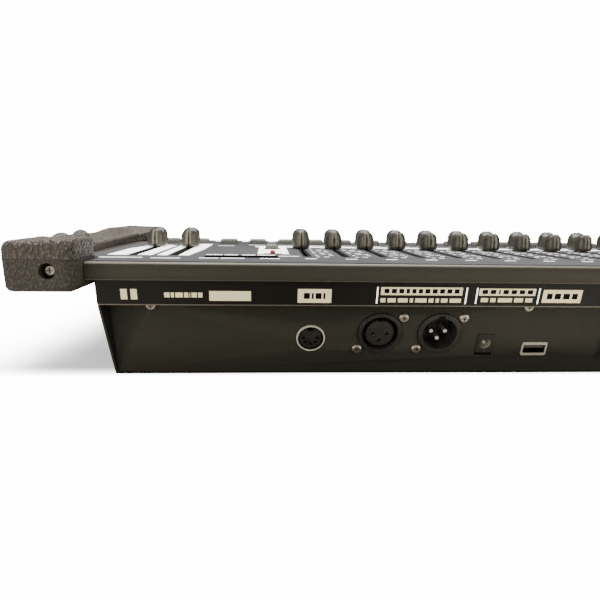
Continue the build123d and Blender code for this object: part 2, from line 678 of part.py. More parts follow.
# ================================================================ sockets
with BuildPart() as din_socket:
    with BuildSketch(PLATE.offset(-SHEET - 11)):
        with Locations(DIN_PLACE):
            Rectangle(19, 19)
    extrude(amount=11)
    with BuildSketch(PLATE.offset(-SHEET)):
        with Locations(DIN_PLACE):
            Circle(DIN_RING)
    extrude(amount=SHEET + 0.8)
    with BuildSketch(PLATE.offset(-2.4)):
        with Locations(DIN_PLACE):
            Circle(DIN_RING - 0.9)
            Circle(DIN_RING - 1.6, mode=Mode.SUBTRACT)
    extrude(amount=4, mode=Mode.SUBTRACT)
    with BuildSketch(PLATE.offset(0.2)):
        with Locations(DIN_PLACE):
            Circle(DIN_RING - 0.9)
    extrude(amount=2, mode=Mode.SUBTRACT)
    with BuildSketch(PLATE.offset(-7)):
        with Locations(DIN_PLACE):
            with PolarLocations(3.75, 5, start_angle=180, angular_range=180, endpoint=True):
                Circle(0.8)
            with Locations((0, 5.2)):
                Rectangle(3.2, 2.0)
    extrude(amount=10, mode=Mode.SUBTRACT)
din_socket.part.label = "din_socket"
export_step(din_socket.part, "parts/din_socket.step")


def xlr_blank(place):
    """Flange behind the plate with two screw holes, rear barrel, and the ring in the hole."""
    with BuildPart() as blank:
        with BuildSketch(PLATE.offset(-SHEET - XLR_FLANGE_THICKNESS)):
            with Locations(place):
                RectangleRounded(*XLR_FLANGE, radius=3)
                with Locations(XLR_SCREW, (-XLR_SCREW[0], -XLR_SCREW[1])):
                    Circle(SHANK_RADIUS + 0.1, mode=Mode.SUBTRACT)
        extrude(amount=XLR_FLANGE_THICKNESS)
        with BuildSketch(PLATE.offset(-XLR_DEPTH)):
            with Locations(place):
                Circle(11.0)
        extrude(amount=XLR_DEPTH - SHEET)
        with BuildSketch(PLATE.offset(-SHEET)):
            with Locations(place):
                Circle(XLR_RING)
        extrude(amount=SHEET + XLR_PROUD)
        circles = blank.edges().filter_by(GeomType.CIRCLE)
        outermost = PLATE.from_local_coords(Vector(*place, XLR_PROUD + 20))
        fillet(circles.sort_by_distance(outermost)[0], radius=EDGE_ROUND)
    return blank.part


with BuildPart() as xlr_female_socket:
    add(xlr_blank(XLR_FEMALE_PLACE))
    with BuildSketch(PLATE.offset(-10)):
        with Locations(XLR_FEMALE_PLACE):
            Circle(9.9)
            Circle(7.6, mode=Mode.SUBTRACT)
            with Locations((0, 8.2)):
                Rectangle(3.0, 2.6)
    extrude(amount=12, mode=Mode.SUBTRACT)
    with BuildSketch(PLATE.offset(0.2)):
        with Locations(XLR_FEMALE_PLACE):
            Circle(7.8)
    extrude(amount=2, mode=Mode.SUBTRACT)
    with BuildSketch(PLATE.offset(-9)):
        with Locations(XLR_FEMALE_PLACE):
            with Locations(*XLR_CONTACTS):
                Circle(1.35)
    extrude(amount=12, mode=Mode.SUBTRACT)
xlr_female_socket.part.label = "xlr_female_socket"
export_step(xlr_female_socket.part, "parts/xlr_female_socket.step")

with BuildPart() as xlr_male_body:
    add(xlr_blank(XLR_MALE_PLACE))
    with BuildSketch(PLATE.offset(-12)):
        with Locations(XLR_MALE_PLACE):
            Circle(9.4)
            with Locations((0, 9.6)):
                Rectangle(3.4, 2.4)
    extrude(amount=14, mode=Mode.SUBTRACT)
    with BuildSketch(PLATE.offset(-15)):
        with Locations(XLR_MALE_PLACE):
            with Locations(*XLR_CONTACTS):
                Circle(1.25)
    extrude(amount=4, mode=Mode.SUBTRACT)
with BuildPart() as xlr_male_pins:
    with BuildSketch(PLATE.offset(-15)):
        with Locations(XLR_MALE_PLACE):
            with Locations(*XLR_CONTACTS):
                Circle(1.2)
    extrude(amount=13)
    tip_plane = PLATE.offset(-2)
    tips = xlr_male_pins.edges().filter_by(
        lambda edge: abs(tip_plane.to_local_coords(edge.center()).Z) < 0.05
    )
    fillet(tips, radius=0.7)
xlr_male_socket = Compound(children=[xlr_male_body.part, xlr_male_pins.part])
xlr_male_socket.label = "xlr_male_socket"
export_step(xlr_male_socket, "parts/xlr_male_socket.step")

with BuildPart() as dc_body:
    with BuildSketch(PLATE.offset(-14)):
        with Locations(DC_PLACE):
            Rectangle(*DC_SIZE)
    extrude(amount=14 + 0.3)
    dc_edges = dc_body.edges().filter_by(Axis.X)
    below = PLATE.from_local_coords(Vector(DC_PLACE[0], DC_PLACE[1] - 20, 14))
    chamfer(dc_edges.sort_by_distance(below)[0], length=DC_BEVEL)
    with BuildSketch(PLATE.offset(-10.5)):
        with Locations((DC_PLACE[0], DC_PLACE[1] + DC_BORE_RAISE)):
            Circle(3.1)
    extrude(amount=12, mode=Mode.SUBTRACT)
with BuildPart() as dc_pin:
    with BuildSketch(PLATE.offset(-10.5)):
        with Locations((DC_PLACE[0], DC_PLACE[1] + DC_BORE_RAISE)):
            Circle(1.0)
    extrude(amount=9.0)
dc_jack = Compound(children=[dc_body.part, dc_pin.part])
dc_jack.label = "dc_jack"
export_step(dc_jack, "parts/dc_jack.step")

with BuildPart() as usb_shell:
    with BuildSketch(PLATE.offset(-13)):
        with Locations(USB_PLACE):
            Rectangle(13.2, 5.7)
    extrude(amount=13)
    with BuildSketch(PLATE.offset(-SHEET - 0.8)):
        with Locations(USB_PLACE):
            RectangleRounded(*USB_SIZE, radius=1.0)
    extrude(amount=SHEET + 0.8 + 0.5)
    with BuildSketch(PLATE.offset(-12)):
        with Locations(USB_PLACE):
            Rectangle(12.4, 4.9)
    extrude(amount=14, mode=Mode.SUBTRACT)
with BuildPart() as usb_tongue:
    with BuildSketch(PLATE.offset(-12)):
        with Locations((USB_PLACE[0], USB_PLACE[1] + 1.1)):
            Rectangle(11.2, 1.8)
    extrude(amount=11.6)
usb_socket = Compound(children=[usb_shell.part, usb_tongue.part])
usb_socket.label = "usb_socket"
export_step(usb_socket, "parts/usb_socket.step")

# rocker switch: its bezel stands on the plate, the rocker tips about an axis along s
with BuildPart() as power_switch_body:
    with BuildSketch(PLATE.offset(-15)):
        with Locations(SWITCH_PLACE):
            Rectangle(*SWITCH_BODY)
    extrude(amount=15)
    with BuildSketch(PLATE):
        with Locations(SWITCH_PLACE):
            RectangleRounded(*SWITCH_BEZEL, radius=0.8)
    extrude(amount=1.5)
    with BuildSketch(PLATE.offset(-8)):
        with Locations(SWITCH_PLACE):
            Rectangle(2 * ROCKER_RADIUS + 2 * GAP, 10.6)
    extrude(amount=12, mode=Mode.SUBTRACT)
power_switch_body.part.label = "power_switch_body"
export_step(power_switch_body.part, "parts/power_switch_body.step")

pivot = PLATE.from_local_coords(Vector(SWITCH_PLACE[0], SWITCH_PLACE[1], ROCKER_PIVOT_N))
tilt = math.radians(ROCKER_TILT)
rocker_across = PLATE.x_dir * math.cos(tilt) + PLATE.z_dir * math.sin(tilt)
rocker_plane = Plane(origin=pivot, x_dir=rocker_across, z_dir=-PLATE.y_dir)
with BuildPart() as power_rocker:
    with BuildSketch(rocker_plane):
        with BuildLine():
            Polyline((-8.4, 5.2), (0, 3.3), (8.4, 5.2), (8.4, -2), (-8.4, -2), close=True)
        make_face()
        Circle(ROCKER_RADIUS, mode=Mode.INTERSECT)
    extrude(amount=5.0, both=True)
power_rocker.part.label = "power_rocker"
export_step(power_rocker.part, "parts/power_rocker.step")

# ================================================================ screws and feet
def screw_at(plane, length):
    """A cross-head pan screw: the head stands on the plane, the shank runs into it."""
    with BuildPart() as screw:
        with BuildSketch(plane):
            Circle(HEAD_RADIUS)
        extrude(amount=HEAD_HEIGHT)
        circles = screw.edges().filter_by(GeomType.CIRCLE)
        rim = circles.sort_by_distance(plane.offset(HEAD_HEIGHT + 3).origin)[0]
        fillet(rim, radius=1.1)
        with BuildSketch(plane):
            Circle(SHANK_RADIUS)
        extrude(amount=-length)
        with BuildSketch(plane.offset(HEAD_HEIGHT)):
            Rectangle(2.8, 0.7)
            Rectangle(0.7, 2.8)
        extrude(amount=-1.0, mode=Mode.SUBTRACT)
    return screw.part


def plate_spot(place, offset_u, offset_s):
    """A plane on the socket plate's outer face, shifted from a socket's centre."""
    spot = PLATE.from_local_coords(Vector(place[0] + offset_u, place[1] + offset_s, 0))
    return Plane(origin=spot, x_dir=PLATE.x_dir, z_dir=PLATE.z_dir)


screws = []
for place in (XLR_FEMALE_PLACE, XLR_MALE_PLACE):
    for sign in (-1, 1):
        spot = plate_spot(place, sign * XLR_SCREW[0], sign * XLR_SCREW[1])
        screws.append(screw_at(spot, SHANK_LENGTH))
for place in LIP_SCREWS:
    screws.append(screw_at(plate_spot(place, 0, 0), SHANK_LENGTH))
for u in base_screw_us:
    under = Plane(origin=(-u, base_screw_y, bottom_z), x_dir=(1, 0, 0), z_dir=(0, 0, -1))
    screws.append(screw_at(under, SHANK_LENGTH))
for side in (-1, 1):
    for v, inward, length in grip_ends:
        seat = boss_plane(side, v + inward * RECESS_DEPTH, inward)
        outward = Plane(origin=seat.origin, x_dir=(1, 0, 0), z_dir=-seat.z_dir)
        screws.append(screw_at(outward, length - RECESS_DEPTH + 3.0))
phillips_screws = Compound(children=screws)
phillips_screws.label = "phillips_screws"
export_step(phillips_screws, "parts/phillips_screws.step")

with BuildPart() as rubber_feet:
    with BuildSketch(Plane.XY.offset(bottom_z)):
        with Locations(*[(u, y) for u in foot_us for y in foot_ys]):
            Circle(6.5)
    extrude(amount=-FOOT_HEIGHT, taper=8)
rubber_feet.part.label = "rubber_feet"
export_step(rubber_feet.part, "parts/rubber_feet.step")
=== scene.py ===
import bpy
import bmesh
import json
import math
from mathutils import Matrix, Vector

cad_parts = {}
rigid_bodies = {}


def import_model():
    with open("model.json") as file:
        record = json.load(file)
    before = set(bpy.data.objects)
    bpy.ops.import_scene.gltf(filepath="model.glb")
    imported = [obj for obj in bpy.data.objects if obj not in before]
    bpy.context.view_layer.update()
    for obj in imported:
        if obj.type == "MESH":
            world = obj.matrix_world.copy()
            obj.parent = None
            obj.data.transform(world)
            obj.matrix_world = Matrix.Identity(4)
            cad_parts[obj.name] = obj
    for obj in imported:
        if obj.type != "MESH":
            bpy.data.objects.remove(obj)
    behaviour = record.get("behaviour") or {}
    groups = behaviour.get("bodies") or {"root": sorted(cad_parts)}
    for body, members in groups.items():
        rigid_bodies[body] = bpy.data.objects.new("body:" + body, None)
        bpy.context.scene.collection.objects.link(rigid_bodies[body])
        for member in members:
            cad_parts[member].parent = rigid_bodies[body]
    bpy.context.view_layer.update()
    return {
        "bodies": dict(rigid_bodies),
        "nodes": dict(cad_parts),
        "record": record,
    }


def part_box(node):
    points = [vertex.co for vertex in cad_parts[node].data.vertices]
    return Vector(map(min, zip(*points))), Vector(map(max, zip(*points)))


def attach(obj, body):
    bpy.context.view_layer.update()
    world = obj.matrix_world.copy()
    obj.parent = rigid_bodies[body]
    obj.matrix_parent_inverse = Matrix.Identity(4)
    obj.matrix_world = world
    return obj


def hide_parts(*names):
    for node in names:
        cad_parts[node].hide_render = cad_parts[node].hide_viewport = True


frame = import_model()
record = frame["record"]
MM = 0.001

# ------------------------------------------------------------------ coordinates
# Deck: u to the right as seen from behind (-X), v from the rear edge towards the user, w up
# from the deck. Socket plate: the same u, s up the plate from its lower edge, n out of it.
# INSET is how far the printed film lies in from the deck's rear edge and FILM its thickness.
# CORNER is the plate's lower edge, and STRIP the label strip's upper and lower edge, as (v, w).
slide = next(j for j in record["behaviour"]["joints"] if j["name"] == "fader_channel_01_slide")
COS, SIN = slide["axis"][1], slide["axis"][2]
INSET, FILM = 2.2, 0.25
_, overlay_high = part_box("deck_overlay")
REAR_Y = overlay_high.y / MM + INSET * COS
REAR_Z = overlay_high.z / MM + INSET * SIN - FILM * COS
hinge = next(j for j in record["behaviour"]["joints"] if j["name"] == "power_rocker_hinge")
LEAN_SIN, LEAN_COS = hinge["axis"][1], hinge["axis"][2]
CORNER = (34.7, -64.6)
STRIP = ((6.3, -8.7), (9.3, -22.15))


def deck(u, v, w=0.0):
    """A point of the shared frame, in metres, from deck coordinates in millimetres."""
    y = REAR_Y - v * COS - w * SIN
    z = REAR_Z - v * SIN + w * COS
    return Vector((-u, y, z)) * MM


def plate(u, s, n=0.0):
    """A point on or near the socket plate."""
    foot = deck(0, *CORNER) / MM
    y = foot.y + s * LEAN_SIN + n * LEAN_COS
    z = foot.z + s * LEAN_COS - n * LEAN_SIN
    return Vector((-u, y, z)) * MM


def strip(u, d, n=0.0):
    """A point d down the label strip from its upper edge and n out of it."""
    (v0, w0), (v1, w1) = STRIP
    run = math.hypot(v1 - v0, w1 - w0)
    dv, dw = (v1 - v0) / run, (w1 - w0) / run
    return deck(u, v0 + d * dv + n * dw, w0 + d * dw - n * dv)


# ------------------------------------------------------------------ materials
class Nodes:
    """A small helper for building a node material."""

    def __init__(self, name):
        self.mat = bpy.data.materials.new(name)
        self.mat.use_nodes = True
        self.tree = self.mat.node_tree
        self.shader = self.tree.nodes["Principled BSDF"]
        self.coords = self.node("ShaderNodeTexCoord").outputs["Object"]

    def node(self, kind, **values):
        made = self.tree.nodes.new(kind)
        for key, value in values.items():
            setattr(made, key, value)
        return made

    def link(self, out, socket):
        self.tree.links.new(out, socket)

    def put(self, socket, value):
        if isinstance(value, bpy.types.NodeSocket):
            self.link(value, socket)
        else:
            socket.default_value = value

    def noise(self, scale, detail=3.0, roughness=0.55, stretch=None):
        made = self.node("ShaderNodeTexNoise")
        made.inputs["Scale"].default_value = scale
        made.inputs["Detail"].default_value = detail
        made.inputs["Roughness"].default_value = roughness
        self.link(self.stretched(stretch), made.inputs["Vector"])
        return made.outputs["Fac"]

    def stretched(self, stretch):
        if stretch is None:
            return self.coords
        mapping = self.node("ShaderNodeMapping")
        mapping.inputs["Scale"].default_value = stretch
        self.link(self.coords, mapping.inputs["Vector"])
        return mapping.outputs["Vector"]

    def drift(self, scale, detail=3.0):
        """Slow change from 0 to 1 over the surface."""
        return self.remap(self.noise(scale, detail), 0.35, 0.65, 0.0, 1.0)

    def remap(self, value, low, high, to_low, to_high):
        made = self.node("ShaderNodeMapRange")
        self.link(value, made.inputs["Value"])
        limits = {"From Min": low, "From Max": high, "To Min": to_low, "To Max": to_high}
        for name, number in limits.items():
            made.inputs[name].default_value = number
        return made.outputs["Result"]

    def math(self, operation, a, b=0.0):
        made = self.node("ShaderNodeMath", operation=operation)
        self.put(made.inputs[0], a)
        self.put(made.inputs[1], b)
        return made.outputs[0]

    def mix(self, factor, a, b):
        made = self.node("ShaderNodeMix", data_type="RGBA")
        self.put(made.inputs["Factor"], factor)
        for socket, colour in ((made.inputs[6], a), (made.inputs[7], b)):
            if isinstance(colour, bpy.types.NodeSocket):
                self.link(colour, socket)
            else:
                socket.default_value = (*colour, 1.0)
        return made.outputs[2]

    def edges(self, low=0.53, high=0.62):
        """Brighter where the mesh is convex: worn edges, and a painted highlight on the knob caps.
        """
        geometry = self.node("ShaderNodeNewGeometry")
        return self.remap(geometry.outputs["Pointiness"], low, high, 0.0, 1.0)

    def bump(self, height, distance):
        made = self.node("ShaderNodeBump")
        made.inputs["Distance"].default_value = distance
        made.inputs["Strength"].default_value = 1.0
        self.link(height, made.inputs["Height"])
        return made.outputs["Normal"]

    def split(self, vector):
        """The X, Y and Z of a vector, by name."""
        made = self.node("ShaderNodeSeparateXYZ")
        self.link(vector, made.inputs[0])
        return made.outputs

    def normal(self):
        return self.node("ShaderNodeNewGeometry").outputs["Normal"]

    def from_point(self, point):
        """The vector from a point to the surface."""
        made = self.node("ShaderNodeVectorMath", operation="SUBTRACT")
        self.link(self.coords, made.inputs[0])
        made.inputs[1].default_value = point
        return made.outputs[0]

    def along(self, vector, direction):
        """How far a vector reaches in a direction."""
        made = self.node("ShaderNodeVectorMath", operation="DOT_PRODUCT")
        self.link(vector, made.inputs[0])
        made.inputs[1].default_value = direction
        return made.outputs["Value"]

    def within(self, value, low, high):
        """1 where the value lies between low and high, 0 elsewhere."""
        above, below = self.math("GREATER_THAN", value, low), self.math("LESS_THAN", value, high)
        return self.math("MULTIPLY", above, below)

    def near_axis(self, point, direction, radius):
        """1 inside a cylinder of that radius about the line through point, 0 outside."""
        cross = self.node("ShaderNodeVectorMath", operation="CROSS_PRODUCT")
        self.link(self.from_point(point), cross.inputs[0])
        cross.inputs[1].default_value = direction
        length = self.node("ShaderNodeVectorMath", operation="LENGTH")
        self.link(cross.outputs[0], length.inputs[0])
        return self.math("LESS_THAN", length.outputs["Value"], radius)

    def finish(self, colour, roughness, normal, metallic=0.0, specular=0.5):
        self.link(colour, self.shader.inputs["Base Color"])
        self.put(self.shader.inputs["Roughness"], roughness)
        self.put(self.shader.inputs["Metallic"], metallic)
        self.put(self.shader.inputs["Specular IOR Level"], specular)
        self.link(normal, self.shader.inputs["Normal"])
        return self.mat


def tone(colour, factor):
    return tuple(min(1.0, c * factor) for c in colour)


# Colour of the painted highlights along sheet-metal folds.
HIGHLIGHT = (0.55, 0.50, 0.40)
# Colour of the painted glints on the grips' grain.
GRAIN_GLINT = (0.28, 0.24, 0.20)


def paint(
    name,
    colour,
    rough=0.42,
    peel=0.00003,
    scale=900.0,
    shade_x_band=None,
    shade_below=0.0,
    highlighted=(),
    shine=0.5,
    lit_band=None,
):
    """Baked paint: slow tone changes, orange peel, dust, paler edges and painted highlights.

    Painted shade darkens a band of |X| and everything below a given height. Painted highlights
    lie along folds in X, each given as point, radius and strength. The height band is where
    painted light leaves the finish palest, and how far from there painted shade takes over.
    """
    n = Nodes(name)
    base = n.mix(n.drift(14.0, 4.0), tone(colour, 0.82), tone(colour, 1.15))
    # Painted light and shade: palest at the band's height, with painted shade further from it.
    if lit_band:
        away = n.math("ABSOLUTE", n.math("SUBTRACT", n.split(n.coords)["Z"], lit_band[0]))
        base = n.mix(n.remap(away, 0.15 * lit_band[1], lit_band[1], 0.0, 1.0), base, tone(colour, 0.3))
    dust = n.remap(n.noise(420.0, 6.0, 0.7), 0.62, 0.8, 0.0, 0.22)
    base = n.mix(dust, base, tone(colour, 2.6))
    base = n.mix(n.math("MULTIPLY", n.edges(), 0.45), base, tone(colour, 3.0))
    # Painted highlights along folds in X, such as the rim's top bend and the strip's lip.
    for point, radius, strength in highlighted:
        fold = n.near_axis(point, (1.0, 0.0, 0.0), radius)
        highlight_amount = n.remap(n.noise(40.0, 4.0), 0.3, 0.7, 0.75 * strength, strength)
        base = n.mix(n.math("MULTIPLY", fold, highlight_amount), base, HIGHLIGHT)
    # Painted shade on the end plates' inner faces (the |X| band) and the case's bottom edge.
    if shade_x_band:
        parts = n.split(n.coords)
        inside = n.within(n.math("ABSOLUTE", parts["X"]), *shade_x_band)
        inside = n.math("MAXIMUM", inside, n.math("LESS_THAN", parts["Z"], shade_below))
        base = n.mix(inside, base, tone(colour, 0.06))
    roughness = n.remap(n.noise(60.0, 3.0), 0.3, 0.7, rough - 0.06, rough + 0.08)
    if shade_x_band:
        roughness = n.math("MAXIMUM", roughness, inside)
    return n.finish(base, roughness, n.bump(n.noise(scale, 2.0), peel), specular=shine)


def grained(name, colour, grain, depth, rough=0.6, glint=0.5, crease_shade=0.9, stretch=(1.0, 1.0, 1.0)):
    """Moulded plastic, leather grain: painted shade in creases, painted highlights and glints."""
    n = Nodes(name)
    coords = n.stretched(stretch)
    warp = n.node("ShaderNodeTexNoise")
    warp.inputs["Scale"].default_value = grain * 0.5
    n.link(coords, warp.inputs["Vector"])
    shift = n.node("ShaderNodeVectorMath", operation="MULTIPLY_ADD")
    n.link(warp.outputs["Color"], shift.inputs[0])
    shift.inputs[1].default_value = (0.8 / grain,) * 3
    n.link(coords, shift.inputs[2])
    cell = n.node("ShaderNodeTexVoronoi", feature="SMOOTH_F1")
    cell.inputs["Scale"].default_value = grain
    cell.inputs["Smoothness"].default_value = 0.35
    n.link(shift.outputs[0], cell.inputs["Vector"])
    crease = n.remap(cell.outputs["Distance"], 0.1, 0.75, 1.0, 0.0)
    fine = n.noise(grain * 3.0, 3.0)
    height = n.math("ADD", crease, n.math("MULTIPLY", fine, 0.25))
    base = n.mix(n.drift(20.0), tone(colour, 0.85), tone(colour, 1.12))
    # Painted shade in the grain's creases.
    base = n.mix(n.remap(crease, 0.3, 0.9, 0.0, crease_shade), tone(colour, 0.36), base)
    # Painted highlights on the grain's crests.
    crest = n.math("MULTIPLY", n.remap(crease, 0.75, 1.0, 0.0, 1.0), 0.3)
    base = n.mix(crest, base, tone(colour, 1.7))
    # Painted glints: small light specks.
    glints = n.remap(n.noise(grain * 3.2, 2.0, stretch=stretch), 0.58, 0.72, 0.0, glint)
    base = n.mix(glints, base, GRAIN_GLINT)
    roughness = n.remap(crease, 0.0, 1.0, rough + 0.12, rough - 0.08)
    return n.finish(base, roughness, n.bump(height, depth))


def moulded(name, colour, rough=0.38, bump=0.00002, scale=2500.0, specular=0.5):
    """Smooth moulded plastic with a fine spark finish and handled edges."""
    n = Nodes(name)
    base = n.mix(n.drift(90.0), tone(colour, 0.85), tone(colour, 1.15))
    base = n.mix(n.math("MULTIPLY", n.edges(), 0.35), base, tone(colour, 2.2))
    roughness = n.remap(n.noise(300.0, 3.0), 0.3, 0.7, rough - 0.06, rough + 0.1)
    return n.finish(base, roughness, n.bump(n.noise(scale, 2.0), bump), specular=specular)


def knob_finish(name, colour):
    """Finger-polished moulded cap: painted shade on its ribbed top, painted highlights on edges."""
    n = Nodes(name)
    # Painted shade on faces turned up: the cap's top.
    top_shade = n.remap(n.split(n.normal())["Z"], 0.3, 0.8, 0.0, 0.72)
    base = n.mix(n.drift(90.0), tone(colour, 0.85), tone(colour, 1.15))
    base = n.mix(top_shade, base, tone(colour, 0.12))
    # Painted highlights on convex edges, such as the groove's rims.
    base = n.mix(n.math("MULTIPLY", n.edges(0.53, 0.62), 0.5), base, tone(colour, 2.8))
    roughness = n.remap(n.noise(300.0, 3.0), 0.3, 0.7, 0.30, 0.44)
    return n.finish(base, roughness, n.bump(n.noise(2500.0, 2.0), 0.00002), specular=0.45)


def metal(name, colour, rough=0.3, brush=(1.0, 1.0, 1.0)):
    """Brushed or tumbled metal, with painted shade in its recesses."""
    n = Nodes(name)
    lines = n.noise(1800.0, 3.0, 0.6, stretch=brush)
    base = n.mix(n.drift(150.0), tone(colour, 0.8), tone(colour, 1.1))
    # Painted shade: darker where the mesh is concave.
    base = n.mix(n.edges(0.40, 0.48), tone(colour, 0.06), base)
    roughness = n.remap(lines, 0.3, 0.7, rough - 0.08, rough + 0.1)
    return n.finish(base, roughness, n.bump(lines, 0.00001), metallic=1.0)


def ink(name, colour, rough=0.5, glow=0.0, specular=0.5):
    """Screen print: nearly even, with pinholes and a slightly mottled edge."""
    n = Nodes(name)
    # The glow is painted light: the ink shines by itself, though it is no lamp.
    n.shader.inputs["Emission Color"].default_value = (*colour, 1.0)
    n.shader.inputs["Emission Strength"].default_value = glow
    mottle = n.remap(n.noise(900.0, 4.0, 0.6), 0.4, 0.75, 0.0, 0.35)
    base = n.mix(mottle, colour, tone(colour, 0.72))
    roughness = n.remap(n.noise(500.0), 0.3, 0.7, rough - 0.05, rough + 0.1)
    return n.finish(base, roughness, n.bump(n.noise(3000.0), 0.00001), specular=specular)


CASE = (0.030, 0.0265, 0.020)
# The case paint carries painted shade on the end plates' inner faces and along its bottom edge.
case_paint = paint("case paint", CASE, rough=0.40, shade_x_band=(0.2216, 0.22256), shade_below=4.25 * MM)
# Painted highlights on the rim's top bend and lower edge: point, radius, strength.
RIM_HIGHLIGHTS = [(deck(0, 0.5, -0.4), 0.75 * MM, 0.17), (deck(0, 0.1, -8.6), 0.4 * MM, 0.10)]
# Height on the rim face of the most painted light, with painted shade above and below it.
RIM_MIDDLE = deck(0, 0.3, -5.2).z
deck_paint = paint(
    "deck cover paint",
    tone(CASE, 0.85),
    rough=0.34,
    highlighted=RIM_HIGHLIGHTS,
    shine=0.25,
    lit_band=(RIM_MIDDLE, 0.0055),
)
# The socket plate is palest mid height, with painted shade towards its top and bottom.
plate_paint = paint(
    "socket plate paint", (0.031, 0.0300, 0.0228), rough=0.46, shine=0.15, lit_band=(0.0225, 0.023)
)
# The label strip's lip carries a painted highlight.
LIP = deck(0, 9.3, -22.0)
strip_paint = paint(
    "label strip paint",
    (0.0060, 0.0045, 0.0034),
    rough=0.42,
    highlighted=[(LIP, 0.55 * MM, 0.40)],
    shine=0.2,
)
overlay_film = paint(
    "overlay film", (0.031, 0.0315, 0.036), rough=0.48, peel=0.00001, scale=2200.0
)
# White and cream inks glow as painted light.
white_ink = ink("white ink", (0.94, 0.94, 0.92), glow=2.0)
cream_ink = ink("cream ink", (0.95, 0.85, 0.50), glow=0.35)
dark_ink = ink("dark ink", (0.0045, 0.004, 0.0035), rough=0.7, specular=0.1)
# The grips' grain carries painted shade in its creases and painted glints on top.
grip_coarse = grained(
    "grip grain, coarse",
    (0.100, 0.080, 0.059),
    760.0,
    0.0006,
    rough=0.44,
    glint=0.4,
    stretch=(1.0, 1.0, 0.75),
)
grip_fine = grained(
    "grip grain, fine",
    (0.069, 0.0545, 0.040),
    1000.0,
    0.00025,
    glint=0.2,
    crease_shade=0.55,
    stretch=(1.0, 1.0, 0.7),
)
knob_plastic = knob_finish("knob plastic", (0.044, 0.042, 0.031))
# A paler copy of the cap plastic, for the painted highlight beside the groove.
knob_highlight = knob_finish("knob plastic, rubbed", (0.17, 0.155, 0.110))
button_plastic = moulded("button plastic", (0.125, 0.128, 0.112), rough=0.42)
button_red = moulded("button plastic, reddish", (0.40, 0.10, 0.09), rough=0.42)
black_plastic = moulded("black socket plastic", (0.030, 0.029, 0.025), rough=0.36)
black_module = moulded("black module plastic", (0.015, 0.015, 0.016), rough=0.5)
window_tint = moulded(
    "tinted window", (0.002, 0.002, 0.002), rough=0.6, bump=0.000004, specular=0.0
)
lamp_red = moulded("red lamp", (0.30, 0.012, 0.03), rough=0.2, bump=0.000004)
nickel = metal("nickel", (0.62, 0.58, 0.50), 0.28)
zinc = metal("screw zinc", (0.60, 0.54, 0.45), 0.40)
frame_steel = metal("frame steel", (0.5, 0.5, 0.48), 0.35, brush=(0.05, 1.0, 1.0))
board_green = moulded("board laminate", (0.012, 0.07, 0.03), rough=0.4)
foot_rubber = moulded("foot rubber", (0.02, 0.02, 0.02), rough=0.8, bump=0.00006, scale=1500.0)
OUTWARD = Vector((0.0, LEAN_COS, -LEAN_SIN))


def socket_material(name, tests, bright=(0.66, 0.62, 0.55), mirror=1.0, ends=False):
    """Black plastic with bright metal inside the tests, each a point on an axis along OUTWARD
    with an inner and an outer radius. With ends, only faces turned outwards stay bright, a
    painted glint on the contacts' tips with painted shade down their sides.
    """
    n = Nodes(name)
    mask = None
    for point, low, high in tests:
        inside = n.near_axis(point, OUTWARD, high)
        if low:
            inside = n.math("SUBTRACT", inside, n.near_axis(point, OUTWARD, low))
        mask = inside if mask is None else n.math("MAXIMUM", mask, inside)
    # Painted glints on the contacts' tips, painted shade down their sides.
    if ends:
        tip_glint = n.remap(n.along(n.normal(), OUTWARD), 0.2, 0.6, 0.12, 1.0)
        mask = n.math("MULTIPLY", mask, tip_glint)
    dark = n.mix(n.drift(200.0), (0.024, 0.0235, 0.02), (0.036, 0.035, 0.03))
    base = n.mix(mask, dark, bright)
    roughness = n.remap(n.noise(500.0), 0.3, 0.7, 0.25, 0.4)
    metallic = n.math("MULTIPLY", mask, mirror)
    return n.finish(base, roughness, n.bump(n.noise(2500.0), 0.00001), metallic=metallic)


# Middles of the sockets on the plate, and an XLR's three contacts about its middle.
DIN, XLR_F, XLR_M = (-118.2, 22.5), (-80.8, 25.5), (-48.0, 25.5)
DC, USB = (-21.5, 19.2), (7.0, 15.9)
CONTACTS = ((-3.95, 0.0), (3.95, 0.0), (0.0, -4.4))
# The USB opening's half width and half height, and the lower side of the tongue in it.
USB_HALF_WIDTH, USB_HALF_HEIGHT, TONGUE = 6.25 * MM, 2.5 * MM, 0.15 * MM


def ring_test(place, inner, outer):
    """A test for the metal between two radii, in millimetres, about a place on the plate."""
    return plate(*place), inner * MM, outer * MM


def contact_tests(middle, radius):
    return [ring_test((middle[0] + du, middle[1] + ds), 0, radius) for du, ds in CONTACTS]


din_material = socket_material(
    "DIN socket", [ring_test(DIN, 6.95, 9.0)], bright=(0.90, 0.85, 0.70), mirror=0.2
)
# Male contacts: painted glints on their tips.
male_material = socket_material(
    "male XLR socket", contact_tests(XLR_M, 1.23), bright=(0.95, 0.92, 0.85), mirror=0.3, ends=True
)
female_material = socket_material("female XLR socket", contact_tests(XLR_F, 1.40))
dc_material = socket_material(
    "DC jack",
    [ring_test(DC, 0, 1.0), ring_test(DC, 2.8, 3.12)],
    bright=(0.80, 0.77, 0.70),
    mirror=0.7,
)


